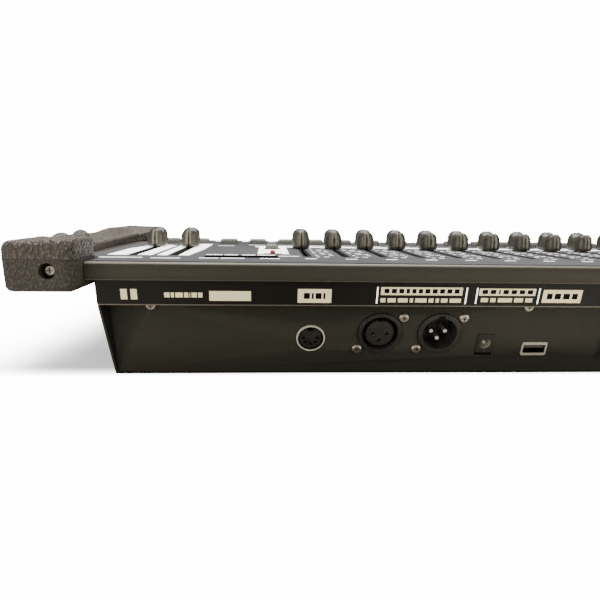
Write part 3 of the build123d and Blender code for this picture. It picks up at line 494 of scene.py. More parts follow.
def usb_finish():
    """Nickel shell with painted shade inside it, round a grey plastic tongue."""
    n = Nodes("USB socket")
    offset = n.from_point(plate(*USB))
    height = n.along(offset, (0, LEAN_SIN, LEAN_COS))
    across = n.within(n.along(offset, (-1, 0, 0)), -USB_HALF_WIDTH, USB_HALF_WIDTH)
    inside = n.math("MULTIPLY", across, n.within(height, -USB_HALF_HEIGHT, USB_HALF_HEIGHT))
    tongue = n.math("GREATER_THAN", height, TONGUE)
    bright = n.mix(n.drift(200.0), (0.62, 0.57, 0.46), (0.78, 0.73, 0.62))
    # Painted shade in the shell's opening below the tongue, the tongue in its own grey.
    inner_shade = n.mix(tongue, (0.004, 0.004, 0.004), (0.075, 0.072, 0.058))
    base = n.mix(inside, bright, inner_shade)
    roughness = n.remap(n.noise(500.0), 0.3, 0.7, 0.32, 0.48)
    metallic = n.math("MULTIPLY", n.math("SUBTRACT", 1.0, inside), 0.6)
    return n.finish(base, roughness, n.bump(n.noise(2500.0), 0.00001), metallic=metallic)


carried = {
    "base_tub": case_paint,
    "label_strip": strip_paint,
    "socket_plate": plate_paint,
    "top_cover": deck_paint,
    "deck_overlay": overlay_film,
    "display_window": window_tint,
    "display_module": black_module,
    "indicator_led": lamp_red,
    "din_socket": din_material,
    "xlr_female_socket": female_material,
    "xlr_male_socket": male_material,
    "dc_jack": dc_material,
    "usb_socket": usb_finish(),
    "power_switch_body": black_plastic,
    "power_rocker": black_plastic,
    "fader_frames": frame_steel,
    "main_board": board_green,
    "button_switches": black_module,
    "phillips_screws": zinc,
    "rubber_feet": foot_rubber,
}
for name, material in carried.items():
    node = frame["nodes"][name]
    node.data.materials.clear()
    node.data.materials.append(material)


# ------------------------------------------------------------------ mesh helpers
def piece(name, verts, faces, materials, body, smooth=None, face_slots=None):
    """A mesh object in the shared frame that rides on a body. smooth is an angle in degrees."""
    data = bpy.data.meshes.new(name)
    data.from_pydata([tuple(v) for v in verts], [], faces)
    for material in materials if isinstance(materials, (list, tuple)) else [materials]:
        data.materials.append(material)
    if face_slots:
        data.polygons.foreach_set("material_index", face_slots)
    data.update()
    bm = bmesh.new()
    bm.from_mesh(data)
    bmesh.ops.recalc_face_normals(bm, faces=bm.faces)
    bm.to_mesh(data)
    bm.free()
    obj = bpy.data.objects.new(name, data)
    bpy.context.collection.objects.link(obj)
    if smooth is not None:
        data.shade_smooth()
        data.set_sharp_from_angle(angle=math.radians(smooth))
    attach(obj, body)
    return obj


def slabs(name, shapes, place, low, high, material):
    """Flat printed shapes: each shape is a convex outline in the plane of place."""
    verts, faces = [], []
    for outline in shapes:
        first, count = len(verts), len(outline)
        for level in (low, high):
            verts += [place(a, b, level) for a, b in outline]
        faces.append(list(range(first + count, first + 2 * count)))
        faces.append(list(range(first + count - 1, first - 1, -1)))
        for i in range(count):
            j = (i + 1) % count
            faces.append([first + i, first + j, first + count + j, first + count + i])
    piece(name, verts, faces, material, "root")


def rect(a0, b0, a1, b1):
    """The corners of a rectangle, in order."""
    return [(a0, b0), (a1, b0), (a1, b1), (a0, b1)]


def loft(rings, close_ends=True):
    """Vertices and faces of a skin over rings of equal point count."""
    count = len(rings[0])
    verts = [p for ring in rings for p in ring]
    faces = []
    for r in range(len(rings) - 1):
        for i in range(count):
            j = (i + 1) % count
            a, b = r * count, (r + 1) * count
            faces.append([a + i, a + j, b + j, b + i])
    if close_ends:
        faces.append(list(range(count - 1, -1, -1)))
        faces.append(list(range((len(rings) - 1) * count, len(rings) * count)))
    return verts, faces


# ------------------------------------------------------------------ fader caps
# Half length and width, half length of the straight flanks, foot above the deck, the height of
# the rolled top, the groove over the middle, and where the caps rest.
KNOB_HALF, KNOB_SIDE, KNOB_FLAT = 9.8, 5.7, 3.5
KNOB_FOOT, KNOB_RISE = 1.0, 4.4
GROOVE_HALF, GROOVE_DEPTH = 0.7, 0.75
REST_V = 99.0
RIDGE = [(-9.8, 11.0), (-7.0, 12.0), (-2.2, 10.5), (4.2, 13.0), (6.5, 12.2), (9.8, 9.2)]
# How far the side draws in, from the foot (0) to the start of the rolled top (1), and the top
# beyond that: in u as a share of the half width, in v in millimetres.
TOP_INSET = 0.32
BELLY = (
    (0.0, 0.45),
    (0.04, 0.2),
    (0.14, 0.05),
    (0.3, 0.0),
    (0.5, 0.02),
    (0.7, 0.1),
    (0.85, 0.2),
    (1.0, TOP_INSET),
)
ROLL_U, ROLL_V = 0.925, 2.4
# The ribs across the top: height, pitch, the stretch of v they cover and how they fade out.
RIB_HEIGHT, RIB_PITCH = 0.05, 1.2
RIB_REAR, RIB_FRONT, RIB_FADE = -2.0, 4.0, 0.8
# The groove grows shallow from here towards the user.
SHALLOW_FROM, SHALLOW_RUN = -5.5, 4.0
# The strips beside the groove that carry a painted highlight: range of u, and the least v and w.
STRIPE_U, STRIPE_V, STRIPE_W = (0.5, 1.6), 6.0, 2.2
# Lever in the slot and the carriage under the deck: half width, half length, low, high.
LEVER = ((0.55, 2.0, -5.5, 1.6), (2.3, 3.0, -8.5, -5.5))


def smooth_step(x):
    x = max(0.0, min(1.0, x))
    return x * x * (3 - 2 * x)


def knob_ridge(v):
    """Height of a cap's middle line, v from its centre towards the user."""
    for (v0, h0), (v1, h1) in zip(RIDGE, RIDGE[1:]):
        if v <= v1:
            return h0 + (h1 - h0) * smooth_step((v - v0) / (v1 - v0))
    return RIDGE[-1][1]


def knob_outline():
    """The plan of a cap: straight flanks, round ends, and the groove's notch at both ends."""
    quarter = [(KNOB_SIDE, KNOB_FLAT * i / 5) for i in range(5)]
    end = KNOB_HALF - KNOB_FLAT
    edge = math.degrees(math.acos(GROOVE_HALF / KNOB_SIDE))
    for i in range(17):
        angle = math.radians(edge * i / 16)
        quarter.append((KNOB_SIDE * math.cos(angle), KNOB_FLAT + end * math.sin(angle)))
    tip = quarter[-1][1]
    quarter += [(GROOVE_HALF - 0.06, tip - 0.1), (GROOVE_HALF * 0.55, tip - 0.5)]
    quarter.append((0.14, tip - GROOVE_DEPTH))
    right = quarter
    left = [(-u, v) for u, v in reversed(quarter)]
    back = [(-u, -v) for u, v in quarter if v > 0]
    front = [(u, -v) for u, v in reversed(quarter) if v > 0]
    return right + left + back + front


def knob_mesh():
    """Cap and lever about the slot's centre line. The lever's faces take the second material and
    the strips beside the groove, with their painted highlight, the third.
    """
    outline = knob_outline()
    rings = []
    for t, inset in BELLY:
        ring = []
        for u, v in outline:
            top = knob_ridge(v) - KNOB_RISE
            w = KNOB_FOOT + (top - KNOB_FOOT) * t
            ring.append((u * (1 - inset / KNOB_SIDE), v * (1 - inset / KNOB_HALF), w))
        rings.append(ring)
    for level in range(1, 16):
        angle = math.pi / 2 * min(level, 14) / 14
        round_in = 1 - math.cos(angle)
        keep_u = 1 - TOP_INSET / KNOB_SIDE - ROLL_U * round_in
        keep_v = 1 - (TOP_INSET + ROLL_V * round_in) / KNOB_HALF
        ring = []
        for u, v in outline:
            y = v * keep_v
            w = knob_ridge(y) - KNOB_RISE * (1 - math.sin(angle))
            ribs = smooth_step((y - RIB_REAR) / RIB_FADE) * smooth_step((RIB_FRONT - y) / RIB_FADE)
            ribs *= smooth_step((math.sin(angle) - 0.7) / 0.2)
            w += RIB_HEIGHT * ribs * math.sin(2 * math.pi * y / RIB_PITCH)
            x = u
            cut = GROOVE_DEPTH * (1.0 - 0.75 * smooth_step((y - SHALLOW_FROM) / SHALLOW_RUN))
            if abs(u) < GROOVE_HALF:
                w -= cut * math.sin(angle)
            elif level == 15:
                x = math.copysign(GROOVE_HALF - 0.08, u)
                w -= cut
            else:
                x = math.copysign(GROOVE_HALF + (abs(u) - GROOVE_HALF) * keep_u, u)
            ring.append((x, y, w))
        rings.append(ring)
    verts, faces = loft(rings, close_ends=False)
    count = len(outline)
    faces.append(list(range(count - 1, -1, -1)))
    base = (len(rings) - 1) * count
    long_side = (count + 2) // 4
    short_side = long_side - 1
    pairs = [(i, 2 * long_side - 1 - i) for i in reversed(range(long_side))]
    pairs += [(count - 1 - j, 2 * long_side + j) for j in range(short_side)]
    for (a, b), (c, d) in zip(pairs, pairs[1:]):
        faces.append([base + a, base + c, base + d, base + b])
    slots = []
    for face in faces:
        middle_u = sum(abs(verts[i][0]) for i in face) / len(face)
        middle_v = sum(abs(verts[i][1]) for i in face) / len(face)
        beside_groove = STRIPE_U[0] < middle_u < STRIPE_U[1]
        # Faces beside the groove, far from the middle and high up, take the painted highlight.
        highlighted = beside_groove and middle_v > STRIPE_V and verts[face[0]][2] > STRIPE_W
        slots.append(2 if highlighted else 0)
    sides = [(0, 3, 2, 1), (4, 5, 6, 7), (0, 1, 5, 4), (1, 2, 6, 5), (2, 3, 7, 6), (3, 0, 4, 7)]
    for half_u, half_v, low_w, high_w in LEVER:
        first = len(verts)
        foot = rect(-half_u, -half_v, half_u, half_v)
        verts += [(u, v, w) for w in (low_w, high_w) for u, v in foot]
        faces += [[first + i for i in face] for face in sides]
        slots += [1] * 6
    return verts, faces, slots


def body_u(body):
    """The u of a body's middle."""
    low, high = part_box(body)
    return -(low.x + high.x) / 2 / MM


knob_verts, knob_faces, knob_slots = knob_mesh()
knob_materials = [knob_plastic, nickel, knob_highlight]
bodies = frame["bodies"]
for body in sorted(bodies):
    if not body.startswith("fader_"):
        continue
    centre = body_u(body)
    placed = [deck(centre + u, REST_V + v, w) for u, v, w in knob_verts]
    cap = piece(
        body + "_cap", placed, knob_faces, knob_materials, body, 38, knob_slots
    )
    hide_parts(body)


# ------------------------------------------------------------------ push buttons
# Where a cap's middle is along v, its size in u and v, and its height above the deck.
SELECT_CAP = (91.5, (8.3, 8.3), 3.2)
FRONT_CAP = (138.5, (12.6, 9.0), 3.9)
RED_BUTTON = "button_01"
# Inset and height from a flange under the deck up to where the edge rolls over, the roll's
# width, and the dished top as inset and drop.
FLANGE_AND_FLANK = ((-1.0, -2.7), (-1.0, -1.7), (0.0, -1.7), (0.0, 0.5), (0.06, 0.8))
ROLL_WIDTH = 1.35
DISH = ((1.9, 0.0), (2.6, 0.12), (3.4, 0.2))
CORNER_RADIUS = 1.2


def rounded_rect(half_u, half_v, radius, steps=6):
    """The outline of a rectangle with round corners."""
    ring = []
    for su, sv, start in ((1, 1, 0), (-1, 1, 90), (-1, -1, 180), (1, -1, 270)):
        for i in range(steps + 1):
            angle = math.radians(start + 90 * i / steps)
            u = su * (half_u - radius) + radius * math.cos(angle)
            ring.append((u, sv * (half_v - radius) + radius * math.sin(angle)))
    return ring


def button_mesh(centre, v, size, height):
    """A cap with a rolled top edge and a slightly dished top."""
    half_u, half_v = size[0] / 2, size[1] / 2
    levels = list(FLANGE_AND_FLANK)
    draw_in, shoulder = levels[-1]
    for i in range(1, 8):
        angle = math.pi / 2 * i / 7
        rise = shoulder + (height - shoulder) * math.sin(angle)
        levels.append((draw_in + ROLL_WIDTH * (1 - math.cos(angle)), rise))
    levels += [(inset, height - drop) for inset, drop in DISH]
    rings = []
    for inset, w in levels:
        radius = max(0.35, CORNER_RADIUS - 0.25 * inset)
        ring = rounded_rect(half_u - inset, half_v - inset, radius)
        rings.append([deck(centre + a, v + b, w) for a, b in ring])
    return loft(rings)


for body in sorted(bodies):
    if not (body.startswith("button_") or body == "select_button"):
        continue
    shape = SELECT_CAP if body == "select_button" else FRONT_CAP
    verts, faces = button_mesh(body_u(body), *shape)
    finish = button_red if body == RED_BUTTON else button_plastic
    cap = piece(body + "_cap", verts, faces, finish, body, 40)
    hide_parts(body)


# ------------------------------------------------------------------ grips
def table(points, x):
    """Straight-line interpolation in a list of (x, y) points."""
    if x <= points[0][0]:
        return points[0][1]
    for (x0, y0), (x1, y1) in zip(points, points[1:]):
        if x <= x1:
            return y0 + (y1 - y0) * (x - x0) / (x1 - x0)
    return points[-1][1]


def softened(points, x, reach=2.5, steps=7):
    """The same, averaged over a short reach so that the corners are rounded."""
    total = 0.0
    for i in range(steps):
        total += table(points, x + reach * (2 * i / (steps - 1) - 1))
    return total / steps


# A grip is a row of sections along v, drawn for the side where u is positive. It runs from
# GRIP_REAR to GRIP_FRONT, its shells meet at the height PARTING with a seam of SEAM on either
# side, and beyond both limits in HOOKS it reaches round the case's corners. The tables go by v:
# the inner side's u, the heights of the top at its outer and inner edge, how full the top is
# between them, and the outer edge's radius.
GRIP_REAR, GRIP_FRONT, PARTING, STEP_U = -12.0, 191.0, 1.7, 241.6
SEAM = 0.06
HOOKS = (17.5, 165.5)
GRIP_INNER, GRIP_BOTTOM = 226.2, -12.9
GRIP_OUTER, GRIP_BOW = 257.2, 11.2
INNER = [
    (17.2, GRIP_INNER),
    (36, 239.0),
    (56, 239.4),
    (80, 240.4),
    (150, 240.4),
    (157, 238.0),
    (165.8, GRIP_INNER),
]
OUTER_TOP = [
    (14, 9.9), (24, 9.0), (80, 8.7), (104, 8.6), (112, 9.2), (121, 10.3), (131, 11.0), (191, 10.8)
]
INNER_TOP = [(15, 10.8), (38, 5.4), (60, 4.8), (90, 5.0), (110, 5.3)]
INNER_TOP += [(135, 5.7), (158, 6.3), (176, 9.6), (191, 10.4)]
SWELL = [(15, 1.0), (28, 0.5), (90, 0.6), (112, 1.0), (191, 1.0)]
OUTER_ROUND = [(14, 4.0), (24, 3.0), (80, 3.5), (95, 5.0), (118, 8.0), (150, 8.0), (185, 5.0)]
# How far the rounded ends reach on the inner side, the outer side and top, and the bottom.
END_INNER, END_OUTER, END_BOTTOM = 4.0, 2.6, 3.0
# Inside STEP_U, and between the hooks, the two shells stop at these heights.
UPPER_LEDGE, LOWER_LEDGE = 0.26, -1.5
INNER_RADIUS, BOTTOM_RADIUS, DRAFT = 2.0, 3.0, 0.7
# Finger ridges: v and crest height, about the line RIDGE_U.
RIDGES = ((8.5, 10.9), (32.0, 11.6), (60.0, 12.1))
RIDGE_U, RIDGE_WIDTH, RIDGE_LENGTH = 246.9, 4.9, 4.4
CREST_U, CREST_CURVE = 247.5, 0.08
# The end screws' counterbores: place of the axis, radius and depth.
BORE_U, BORE_W, BORE_RADIUS, BORE_DEPTH = 237.6, -3.4, 3.6, 5.0


def grip_outer(v):
    """The outer side's u, slightly bowed."""
    t = (v - GRIP_REAR) / (GRIP_FRONT - GRIP_REAR)
    return GRIP_OUTER + GRIP_BOW * t * (1 - t)


def end_inset(v, radius):
    """How far a face draws in near a grip's rounded ends."""
    d = min(v - GRIP_REAR, GRIP_FRONT - v)
    if d >= radius:
        return 0.0
    return radius - math.sqrt(max(0.0, radius * radius - (radius - d) ** 2))


def stations():
    """The sections' places along v, closer together at the rounded ends."""
    near = [END_INNER * (1 - math.cos(math.radians(9 * i))) for i in range(11)]
    run = GRIP_FRONT - GRIP_REAR - 2 * END_INNER
    middle = [GRIP_REAR + END_INNER + i * run / 150 for i in range(1, 150)]
    return [GRIP_REAR + d for d in near] + middle + [GRIP_FRONT - d for d in reversed(near)]


def arc(centre_u, centre_w, radius, start, end, steps=7):
    """Points of an arc between two angles in degrees."""
    out = []
    for i in range(steps + 1):
        angle = math.radians(start + (end - start) * i / steps)
        out.append((centre_u + radius * math.cos(angle), centre_w + radius * math.sin(angle)))
    return out


def line(a, b, steps):
    """Points from a up to, but without, b."""
    du, dw = b[0] - a[0], b[1] - a[1]
    return [(a[0] + du * i / steps, a[1] + dw * i / steps) for i in range(steps)]


def in_hook(v):
    return v < HOOKS[0] or v > HOOKS[1]


def upper_section(v):
    """Outline of the upper shell as (u, w), with the finger ridges raised."""
    drop = end_inset(v, END_OUTER)
    inner = softened(INNER, v) + end_inset(v, END_INNER)
    outer = grip_outer(v) - drop
    in_top = softened(INNER_TOP, v, 4.0) - drop
    out_top = softened(OUTER_TOP, v, 4.0) - drop
    seam = PARTING + SEAM
    bottom = seam if in_hook(v) else UPPER_LEDGE
    radius = table(OUTER_ROUND, v)
    inner_radius = min(INNER_RADIUS, in_top - bottom - 0.5)
    ring = line((inner, bottom), (inner, in_top - inner_radius), 5)
    ring += arc(inner + inner_radius, in_top - inner_radius, inner_radius, 180, 90)
    start = ring[-1]
    end = (outer - radius, out_top)
    for i in range(1, 24):
        t = i / 24
        u = start[0] + (end[0] - start[0]) * t
        t **= table(SWELL, v)
        rise = smooth_step(t * 0.8 + 0.1 * t * t + 0.1 * t)
        ring.append((u, start[1] + (end[1] - start[1]) * rise))
    ring += arc(outer - radius, out_top - radius, radius, 90, 0)
    ring += line((outer, out_top - radius), (outer, seam), 5)[1:]
    ring += line((outer, seam), (STEP_U, seam), 4)
    ring += line((STEP_U, seam), (STEP_U, bottom), 2)
    ring += line((STEP_U, bottom), (inner, bottom), 4)
    shaped = []
    for u, w in ring:
        if w > PARTING + 2.0:
            across = math.exp(-(((u - RIDGE_U) / RIDGE_WIDTH) ** 4))
            for place, crest in RIDGES:
                along = math.exp(-(((v - place) / RIDGE_LENGTH) ** 4))
                w += max(0.0, crest - CREST_CURVE * (u - CREST_U) ** 2 - w) * along * across
        shaped.append((u, w))
    return shaped


def lower_section(v):
    """Outline of the lower shell as (u, w)."""
    inner = GRIP_INNER + end_inset(v, END_INNER)
    outer = grip_outer(v) - end_inset(v, END_OUTER)
    bottom = GRIP_BOTTOM + end_inset(v, END_BOTTOM)
    radius = BOTTOM_RADIUS
    top = PARTING - SEAM
    ledge = top if in_hook(v) else LOWER_LEDGE
    ring = line((inner, ledge), (STEP_U, ledge), 4)
    ring += line((STEP_U, ledge), (STEP_U, top), 2)
    ring += line((STEP_U, top), (outer, top), 4)
    ring += line((outer, top), (outer - DRAFT, bottom + radius), 8)
    ring += arc(outer - DRAFT - radius, bottom + radius, radius, 0, -90)
    ring += line((outer - DRAFT - radius, bottom), (inner + radius, bottom), 8)[1:]
    ring += arc(inner + radius, bottom + radius, radius, -90, -180)
    ring += line((inner, bottom + radius), (inner, ledge), 8)[1:]
    return ring


def grip_shell(name, side, section, material, node, holes):
    """One shell of a grip, standing for a CAD node, with or without the screw bores at its ends."""
    vs = stations()
    rings = [[deck(side * u, v, w) for u, w in section(v)] for v in vs]
    verts, faces = loft(rings, close_ends=False)
    count = len(rings[0])
    bm = bmesh.new()
    made = [bm.verts.new(v) for v in verts]
    for face in faces:
        bm.faces.new([made[i] for i in face])
    for end, first in ((0, 0), (1, (len(rings) - 1) * count)):
        loop = [made[first + i] for i in range(count)]
        if not holes:
            bm.faces.new(loop)
            continue
        v, inward = (vs[0], 1) if end == 0 else (vs[-1], -1)
        steps = 32
        mouth = []
        for i in range(steps):
            angle = 2 * math.pi * i / steps
            u = BORE_U + BORE_RADIUS * math.cos(angle)
            mouth.append((u, BORE_W + BORE_RADIUS * math.sin(angle)))
        circle = [bm.verts.new(deck(side * u, v, w)) for u, w in mouth]
        deep = [bm.verts.new(deck(side * u, v + inward * BORE_DEPTH, w)) for u, w in mouth]
        edges = []
        for ring in (loop, circle):
            for i in range(len(ring)):
                pair = (ring[i], ring[(i + 1) % len(ring)])
                edges.append(bm.edges.get(pair) or bm.edges.new(pair))
        bmesh.ops.triangle_fill(bm, use_beauty=True, edges=edges)
        for i in range(steps):
            j = (i + 1) % steps
            bm.faces.new((circle[i], circle[j], deep[j], deep[i]))
        bm.faces.new(deep)
    bmesh.ops.remove_doubles(bm, verts=bm.verts, dist=0.000002)
    bmesh.ops.recalc_face_normals(bm, faces=bm.faces)
    data = bpy.data.meshes.new(name)
    bm.to_mesh(data)
    bm.free()
    data.materials.append(material)
    data.shade_smooth()
    data.set_sharp_from_angle(angle=math.radians(50))
    obj = bpy.data.objects.new(name, data)
    bpy.context.collection.objects.link(obj)
    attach(obj, "root")
    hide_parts(node)


for side, hand in ((-1, "right"), (1, "left")):
    shell = f"grip_{hand}_top_shell"
    grip_shell(shell, side, upper_section, grip_coarse, f"grip_{hand}_upper", False)
    shell = f"grip_{hand}_bottom_shell"
    grip_shell(shell, side, lower_section, grip_fine, f"grip_{hand}_lower", True)

# ------------------------------------------------------------------ deck print
# The u of the channel faders' slots, of the two faders left of them, and of the front buttons.
SLOTS = [-120.1 + 21.0 * i for i in range(16)]
LEFT_SLOTS = [-191.4, -212.3]
BUTTONS = [-210.6 + 20.6 * i for i in range(17)]
white = [
    [(-225.6, 35), (-215.4, 35), (-215.4, 112), (-219.6, 109), (-225.2, 80)],
    rect(-210.0, 35, -202.6, 112),
    rect(-199.8, 35, -194.6, 125),
    [(-188.6, 35), (-183.2, 35), (-180.3, 80), (-180.3, 130), (-188.6, 130)],
    rect(-225.2, 19.2, -204, 21.4),
    rect(-199.6, 17.6, -185, 19.6),
]
for u0, u1 in ((-174.9, -166), (-165, -157.7), (-155.5, -148.2), (-147, -137.5)):
    white.append(rect(u0, 40.2, u1, 42.8))
for u0, u1 in ((-175.9, -166.4), (-165.2, -153.2), (-145.4, -135.2)):
    white.append(rect(u0, 19.8, u1, 21.9))
white.append(rect(-135.4, 34.9, -124.6, 36.9))
white += [
    rect(-147.2, 50, -143.6, 111),
    rect(-133.6, 50, -129.5, 111),
    rect(-143.6, 98.0, -133.6, 111),
    rect(-143.6, 55.0, -133.6, 85.0),
]
white.append(rect(-150, 105.5, 212, 115))
for u in BUTTONS:
    v = 114.0 if u < -150 else 124.2
    white.append(rect(u - 6.0, v, u + 5.0, v + 1.4))
for u in BUTTONS[:-1]:
    white.append(rect(u + 7.6, 165, u + 13.0, 178))
ticks = []
for u in SLOTS:
    ticks.append(rect(u - 2.2, 21.4, u + 3.8, 23.2))
    for row, v in enumerate((33.5, 44, 52, 60, 68, 76, 83, 95)):
        for column, du in enumerate((4.6, 8.6, 12.6)):
            if (row + column) % 3 == 2:
                continue
            width = 2.0 + 0.5 * ((row * 3 + column * 5) % 3)
            ticks.append(rect(u + du, v, u + du + width, v + 1.2))
PRINT_LOW, PRINT_HIGH = FILM + 0.005, FILM + 0.045
slabs("deck_print_white", white, deck, PRINT_LOW, PRINT_HIGH, white_ink)
slabs("deck_print_ticks", ticks, deck, PRINT_LOW, PRINT_HIGH, white_ink)
dark = []
for u in LEFT_SLOTS + SLOTS:
    dark += [rect(u - 2.3, 35, u - 1.3, 103), rect(u + 1.3, 35, u + 2.3, 103)]
slabs("deck_print_slots", dark, deck, PRINT_LOW, PRINT_HIGH, dark_ink)

# ------------------------------------------------------------------ label strip print
cream = [
    rect(-169.7, 6.0, -149.5, 11.1),
    rect(-126.6, 4.6, -110.0, 11.9),
    rect(-85.5, 3.3, -44.4, 7.5),
    rect(-35.8, 3.7, -6.8, 7.5),
    rect(-2.8, 4.2, 17.5, 11.2),
]


def blocks(u0, u1, d0, d1, widths, gap):
    """Short blocks standing for a line of text, without being letters."""
    total = sum(widths) + gap * (len(widths) - 1)
    scale = (u1 - u0) / total
    at, out = u0, []
    for width in widths:
        out.append(rect(at, d0, at + width * scale, d1))
        at += (width + gap) * scale
    return out


cream += blocks(-191.3, -173.0, 6.9, 9.4, (5, 3, 7, 4, 0.6, 5, 4), 1.2)
cream += blocks(-212.0, -204.2, 5.2, 10.6, (3, 3), 1.6)
cream += blocks(-85.4, -44.6, 9.2, 11.4, (3, 5, 6, 2, 7, 3, 2, 4, 7), 1.3)
cream += blocks(-34.4, -7.8, 8.8, 11.0, (4, 3, 8, 5, 4), 1.3)
black = blocks(-123.6, -113.0, 6.7, 9.8, (3, 1, 3, 1), 0.9)
black += blocks(-83.8, -46.0, 4.2, 6.5, (3, 3, 3, 2, 2.5, 2.5, 3, 3, 3, 3, 3), 1.5)
black += blocks(-34.2, -8.2, 4.4, 6.6, (3, 3, 1, 3, 3, 3, 3), 1.5)
black += blocks(-0.6, 15.4, 6.2, 9.2, (3, 3.4, 3.6, 3), 1.3)
slabs("strip_print_black", black, strip, 0.052, 0.09, dark_ink)
BARS = ((-87.2, 3.3, 12.1), (-42.2, 3.3, 12.1), (-36.9, 3.4, 11.9), (-4.9, 3.4, 11.9))
bars = [rect(u - 0.35, d0, u + 0.35, d1) for u, d0, d1 in BARS]
slabs("strip_print_cream", cream, strip, 0.005, 0.05, cream_ink)
slabs("strip_print_bars", bars, strip, 0.005, 0.05, white_ink)

# ------------------------------------------------------------------ stage, light, camera
# Strength of the white that the camera sees, and of the world's light on the desk.
WHITE_SEEN, WHITE_GIVEN = 15.0, 0.22
# The shadow is full where |X| is under SHADOW_X and Y over SHADOW_Y. Elsewhere it thins out by
# three weights (across, both ways, in depth), and on the camera's side of the desk it ends
# between the two Y of its edge.
SHADOW_X, SHADOW_Y = 0.25, 0.036
SHADOW_WEIGHTS = (640.0, 350.0, 40.0)
SHADOW_EDGE = (0.042, 0.056)
DARKEST = 0.05
# The side of the floor that only the desk sees, in its light and reflections, carries painted
# shade, darkest about this X.
DIM_X = 0.125


def stage_material(name):
    """White floor with a soft shadow under and beside the desk. The camera sees it brighter
    than the desk does.
    """
    n = Nodes(name)
    n.tree.nodes.remove(n.shader)
    parts = n.split(n.coords)
    across = n.math("ABSOLUTE", parts["X"])
    dx = n.math("MAXIMUM", n.math("SUBTRACT", across, SHADOW_X), 0.0)
    dy = n.math("MAXIMUM", n.math("SUBTRACT", SHADOW_Y, parts["Y"]), 0.0)
    terms = []
    for (a, b), weight in zip(((dx, dx), (dx, dy), (dy, dy)), SHADOW_WEIGHTS):
        terms.append(n.math("MULTIPLY", n.math("MULTIPLY", a, b), weight))
    falloff = n.math("ADD", n.math("ADD", terms[0], terms[1]), terms[2])
    shadow = n.math("EXPONENT", n.math("MULTIPLY", falloff, -1.0))
    shadow = n.math("MULTIPLY", shadow, n.remap(parts["Y"], *SHADOW_EDGE, 0.96, 0.0))
    shadow = n.math("MULTIPLY", shadow, n.remap(n.noise(30.0), 0.3, 0.7, 0.95, 1.05))
    emit = n.node("ShaderNodeEmission")
    seen = n.math("MULTIPLY", n.math("POWER", DARKEST, shadow), WHITE_SEEN)
    n.link(seen, emit.inputs["Strength"])
    aside = n.math("ABSOLUTE", n.math("SUBTRACT", parts["X"], DIM_X))
    pale = n.remap(aside, 0.03, 0.17, 0.08, 0.55)
    # The painted shade also deepens towards the desk's foot.
    pale = n.math("MULTIPLY", pale, n.remap(parts["Y"], 0.06, 0.11, 0.4, 1.0))
    diffuse = n.node("ShaderNodeBsdfDiffuse")
    tint = n.node("ShaderNodeVectorMath", operation="SCALE")
    tint.inputs[0].default_value = (1.0, 0.96, 0.88)
    n.link(pale, tint.inputs["Scale"])
    n.link(tint.outputs[0], diffuse.inputs["Color"])
    choice = n.node("ShaderNodeMixShader")
    n.link(n.node("ShaderNodeLightPath").outputs["Is Camera Ray"], choice.inputs[0])
    n.link(diffuse.outputs[0], choice.inputs[1])
    n.link(emit.outputs[0], choice.inputs[2])
    n.link(choice.outputs[0], n.tree.nodes["Material Output"].inputs["Surface"])
    return n.mat


floor_data = bpy.data.meshes.new("floor")
floor_data.from_pydata([(-9, -9, 0), (9, -9, 0), (9, 9, 0), (-9, 9, 0)], [], [[0, 1, 2, 3]])
floor_data.materials.append(stage_material("floor"))
floor = bpy.data.objects.new("floor", floor_data)
bpy.context.collection.objects.link(floor)

world = bpy.data.worlds.new("studio")
bpy.context.scene.world = world
world.use_nodes = True
tree = world.node_tree
background = tree.nodes["Background"]
path = tree.nodes.new("ShaderNodeLightPath")
strength = tree.nodes.new("ShaderNodeMix")
strength.inputs["A"].default_value = WHITE_GIVEN
strength.inputs["B"].default_value = WHITE_SEEN
tree.links.new(path.outputs["Is Camera Ray"], strength.inputs["Factor"])
tree.links.new(strength.outputs["Result"], background.inputs["Strength"])
background.inputs["Color"].default_value = (1, 1, 1, 1)


def softbox(name, place, target, size, power, colour):
    """A rectangular area light at a place, turned to a target."""
    data = bpy.data.lights.new(name, "AREA")
    data.shape = "RECTANGLE"
    data.size, data.size_y = size
    data.energy = power
    data.color = colour
    obj = bpy.data.objects.new(name, data)
    obj.location = place
    obj.rotation_mode = "QUATERNION"
    obj.rotation_quaternion = (Vector(target) - Vector(place)).to_track_quat("-Z", "Y")
    bpy.context.collection.objects.link(obj)


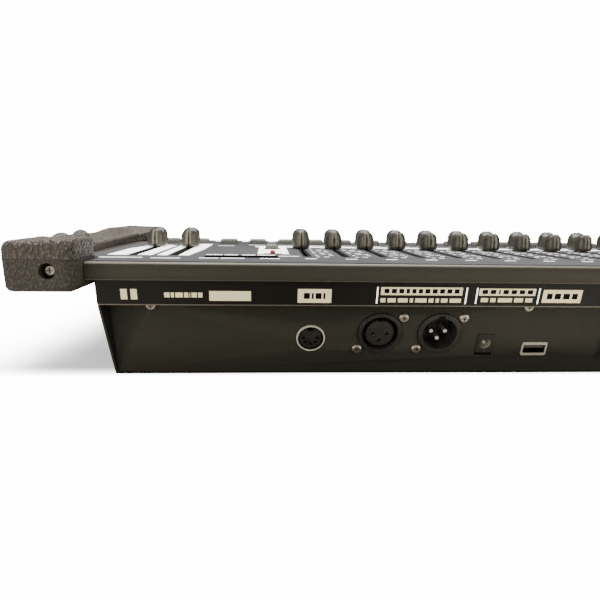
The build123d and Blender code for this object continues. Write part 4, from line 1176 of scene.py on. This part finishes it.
softbox("key", (0.1, -0.25, 1.5), (0, 0, 0), (1.8, 1.2), 90, (1.0, 0.98, 0.95))
softbox("fill", (0.1, 1.6, 0.75), (0, 0, 0.04), (1.2, 0.5), 2.6, (1.0, 0.95, 0.87))
softbox("rear right", (-1.3, 0.75, 0.35), (-0.2, 0.05, 0.03), (0.5, 0.7), 9, (1.0, 0.93, 0.84))
softbox("rear left", (1.3, 0.95, 0.35), (0.2, 0.05, 0.03), (0.5, 0.7), 9, (1.0, 0.95, 0.87))

# The camera's place in the deck frame and its turns about the vertical, the horizontal and the
# line of sight.
CAMERA_PLACE = (-141.0, -244.77, 24.22)
CAMERA_TURNS = (3.51, 9.64, 0.92)
SENSOR_WIDTH, FOCAL_LENGTH = 36.0, 31.3578
camera_data = bpy.data.cameras.new("camera")
camera_data.sensor_width = SENSOR_WIDTH
camera_data.lens = FOCAL_LENGTH
camera_data.clip_start = 0.01
camera_data.clip_end = 60.0
camera = bpy.data.objects.new("camera", camera_data)
bpy.context.collection.objects.link(camera)
bpy.context.scene.camera = camera


def turned(a):
    """The shared frame's direction for a direction (u, v, w) of the deck frame."""
    return Vector((-a[0], -a[1] * COS - a[2] * SIN, -a[1] * SIN + a[2] * COS))


yaw, pitch, roll = (math.radians(a) for a in CAMERA_TURNS)
to_camera = Matrix(((1, 0, 0), (0, 0, -1), (0, 1, 0)))
turn = Matrix(((math.cos(yaw), 0, -math.sin(yaw)), (0, 1, 0), (math.sin(yaw), 0, math.cos(yaw))))
nod = Matrix(
    ((1, 0, 0), (0, math.cos(pitch), -math.sin(pitch)), (0, math.sin(pitch), math.cos(pitch)))
)
tilt = Matrix(
    ((math.cos(roll), -math.sin(roll), 0), (math.sin(roll), math.cos(roll), 0), (0, 0, 1))
)
rows = tilt @ nod @ turn @ to_camera
basis = Matrix((turned(rows[0]), -turned(rows[1]), -turned(rows[2]))).transposed()
camera.matrix_world = Matrix.Translation(deck(*CAMERA_PLACE)) @ basis.to_4x4()
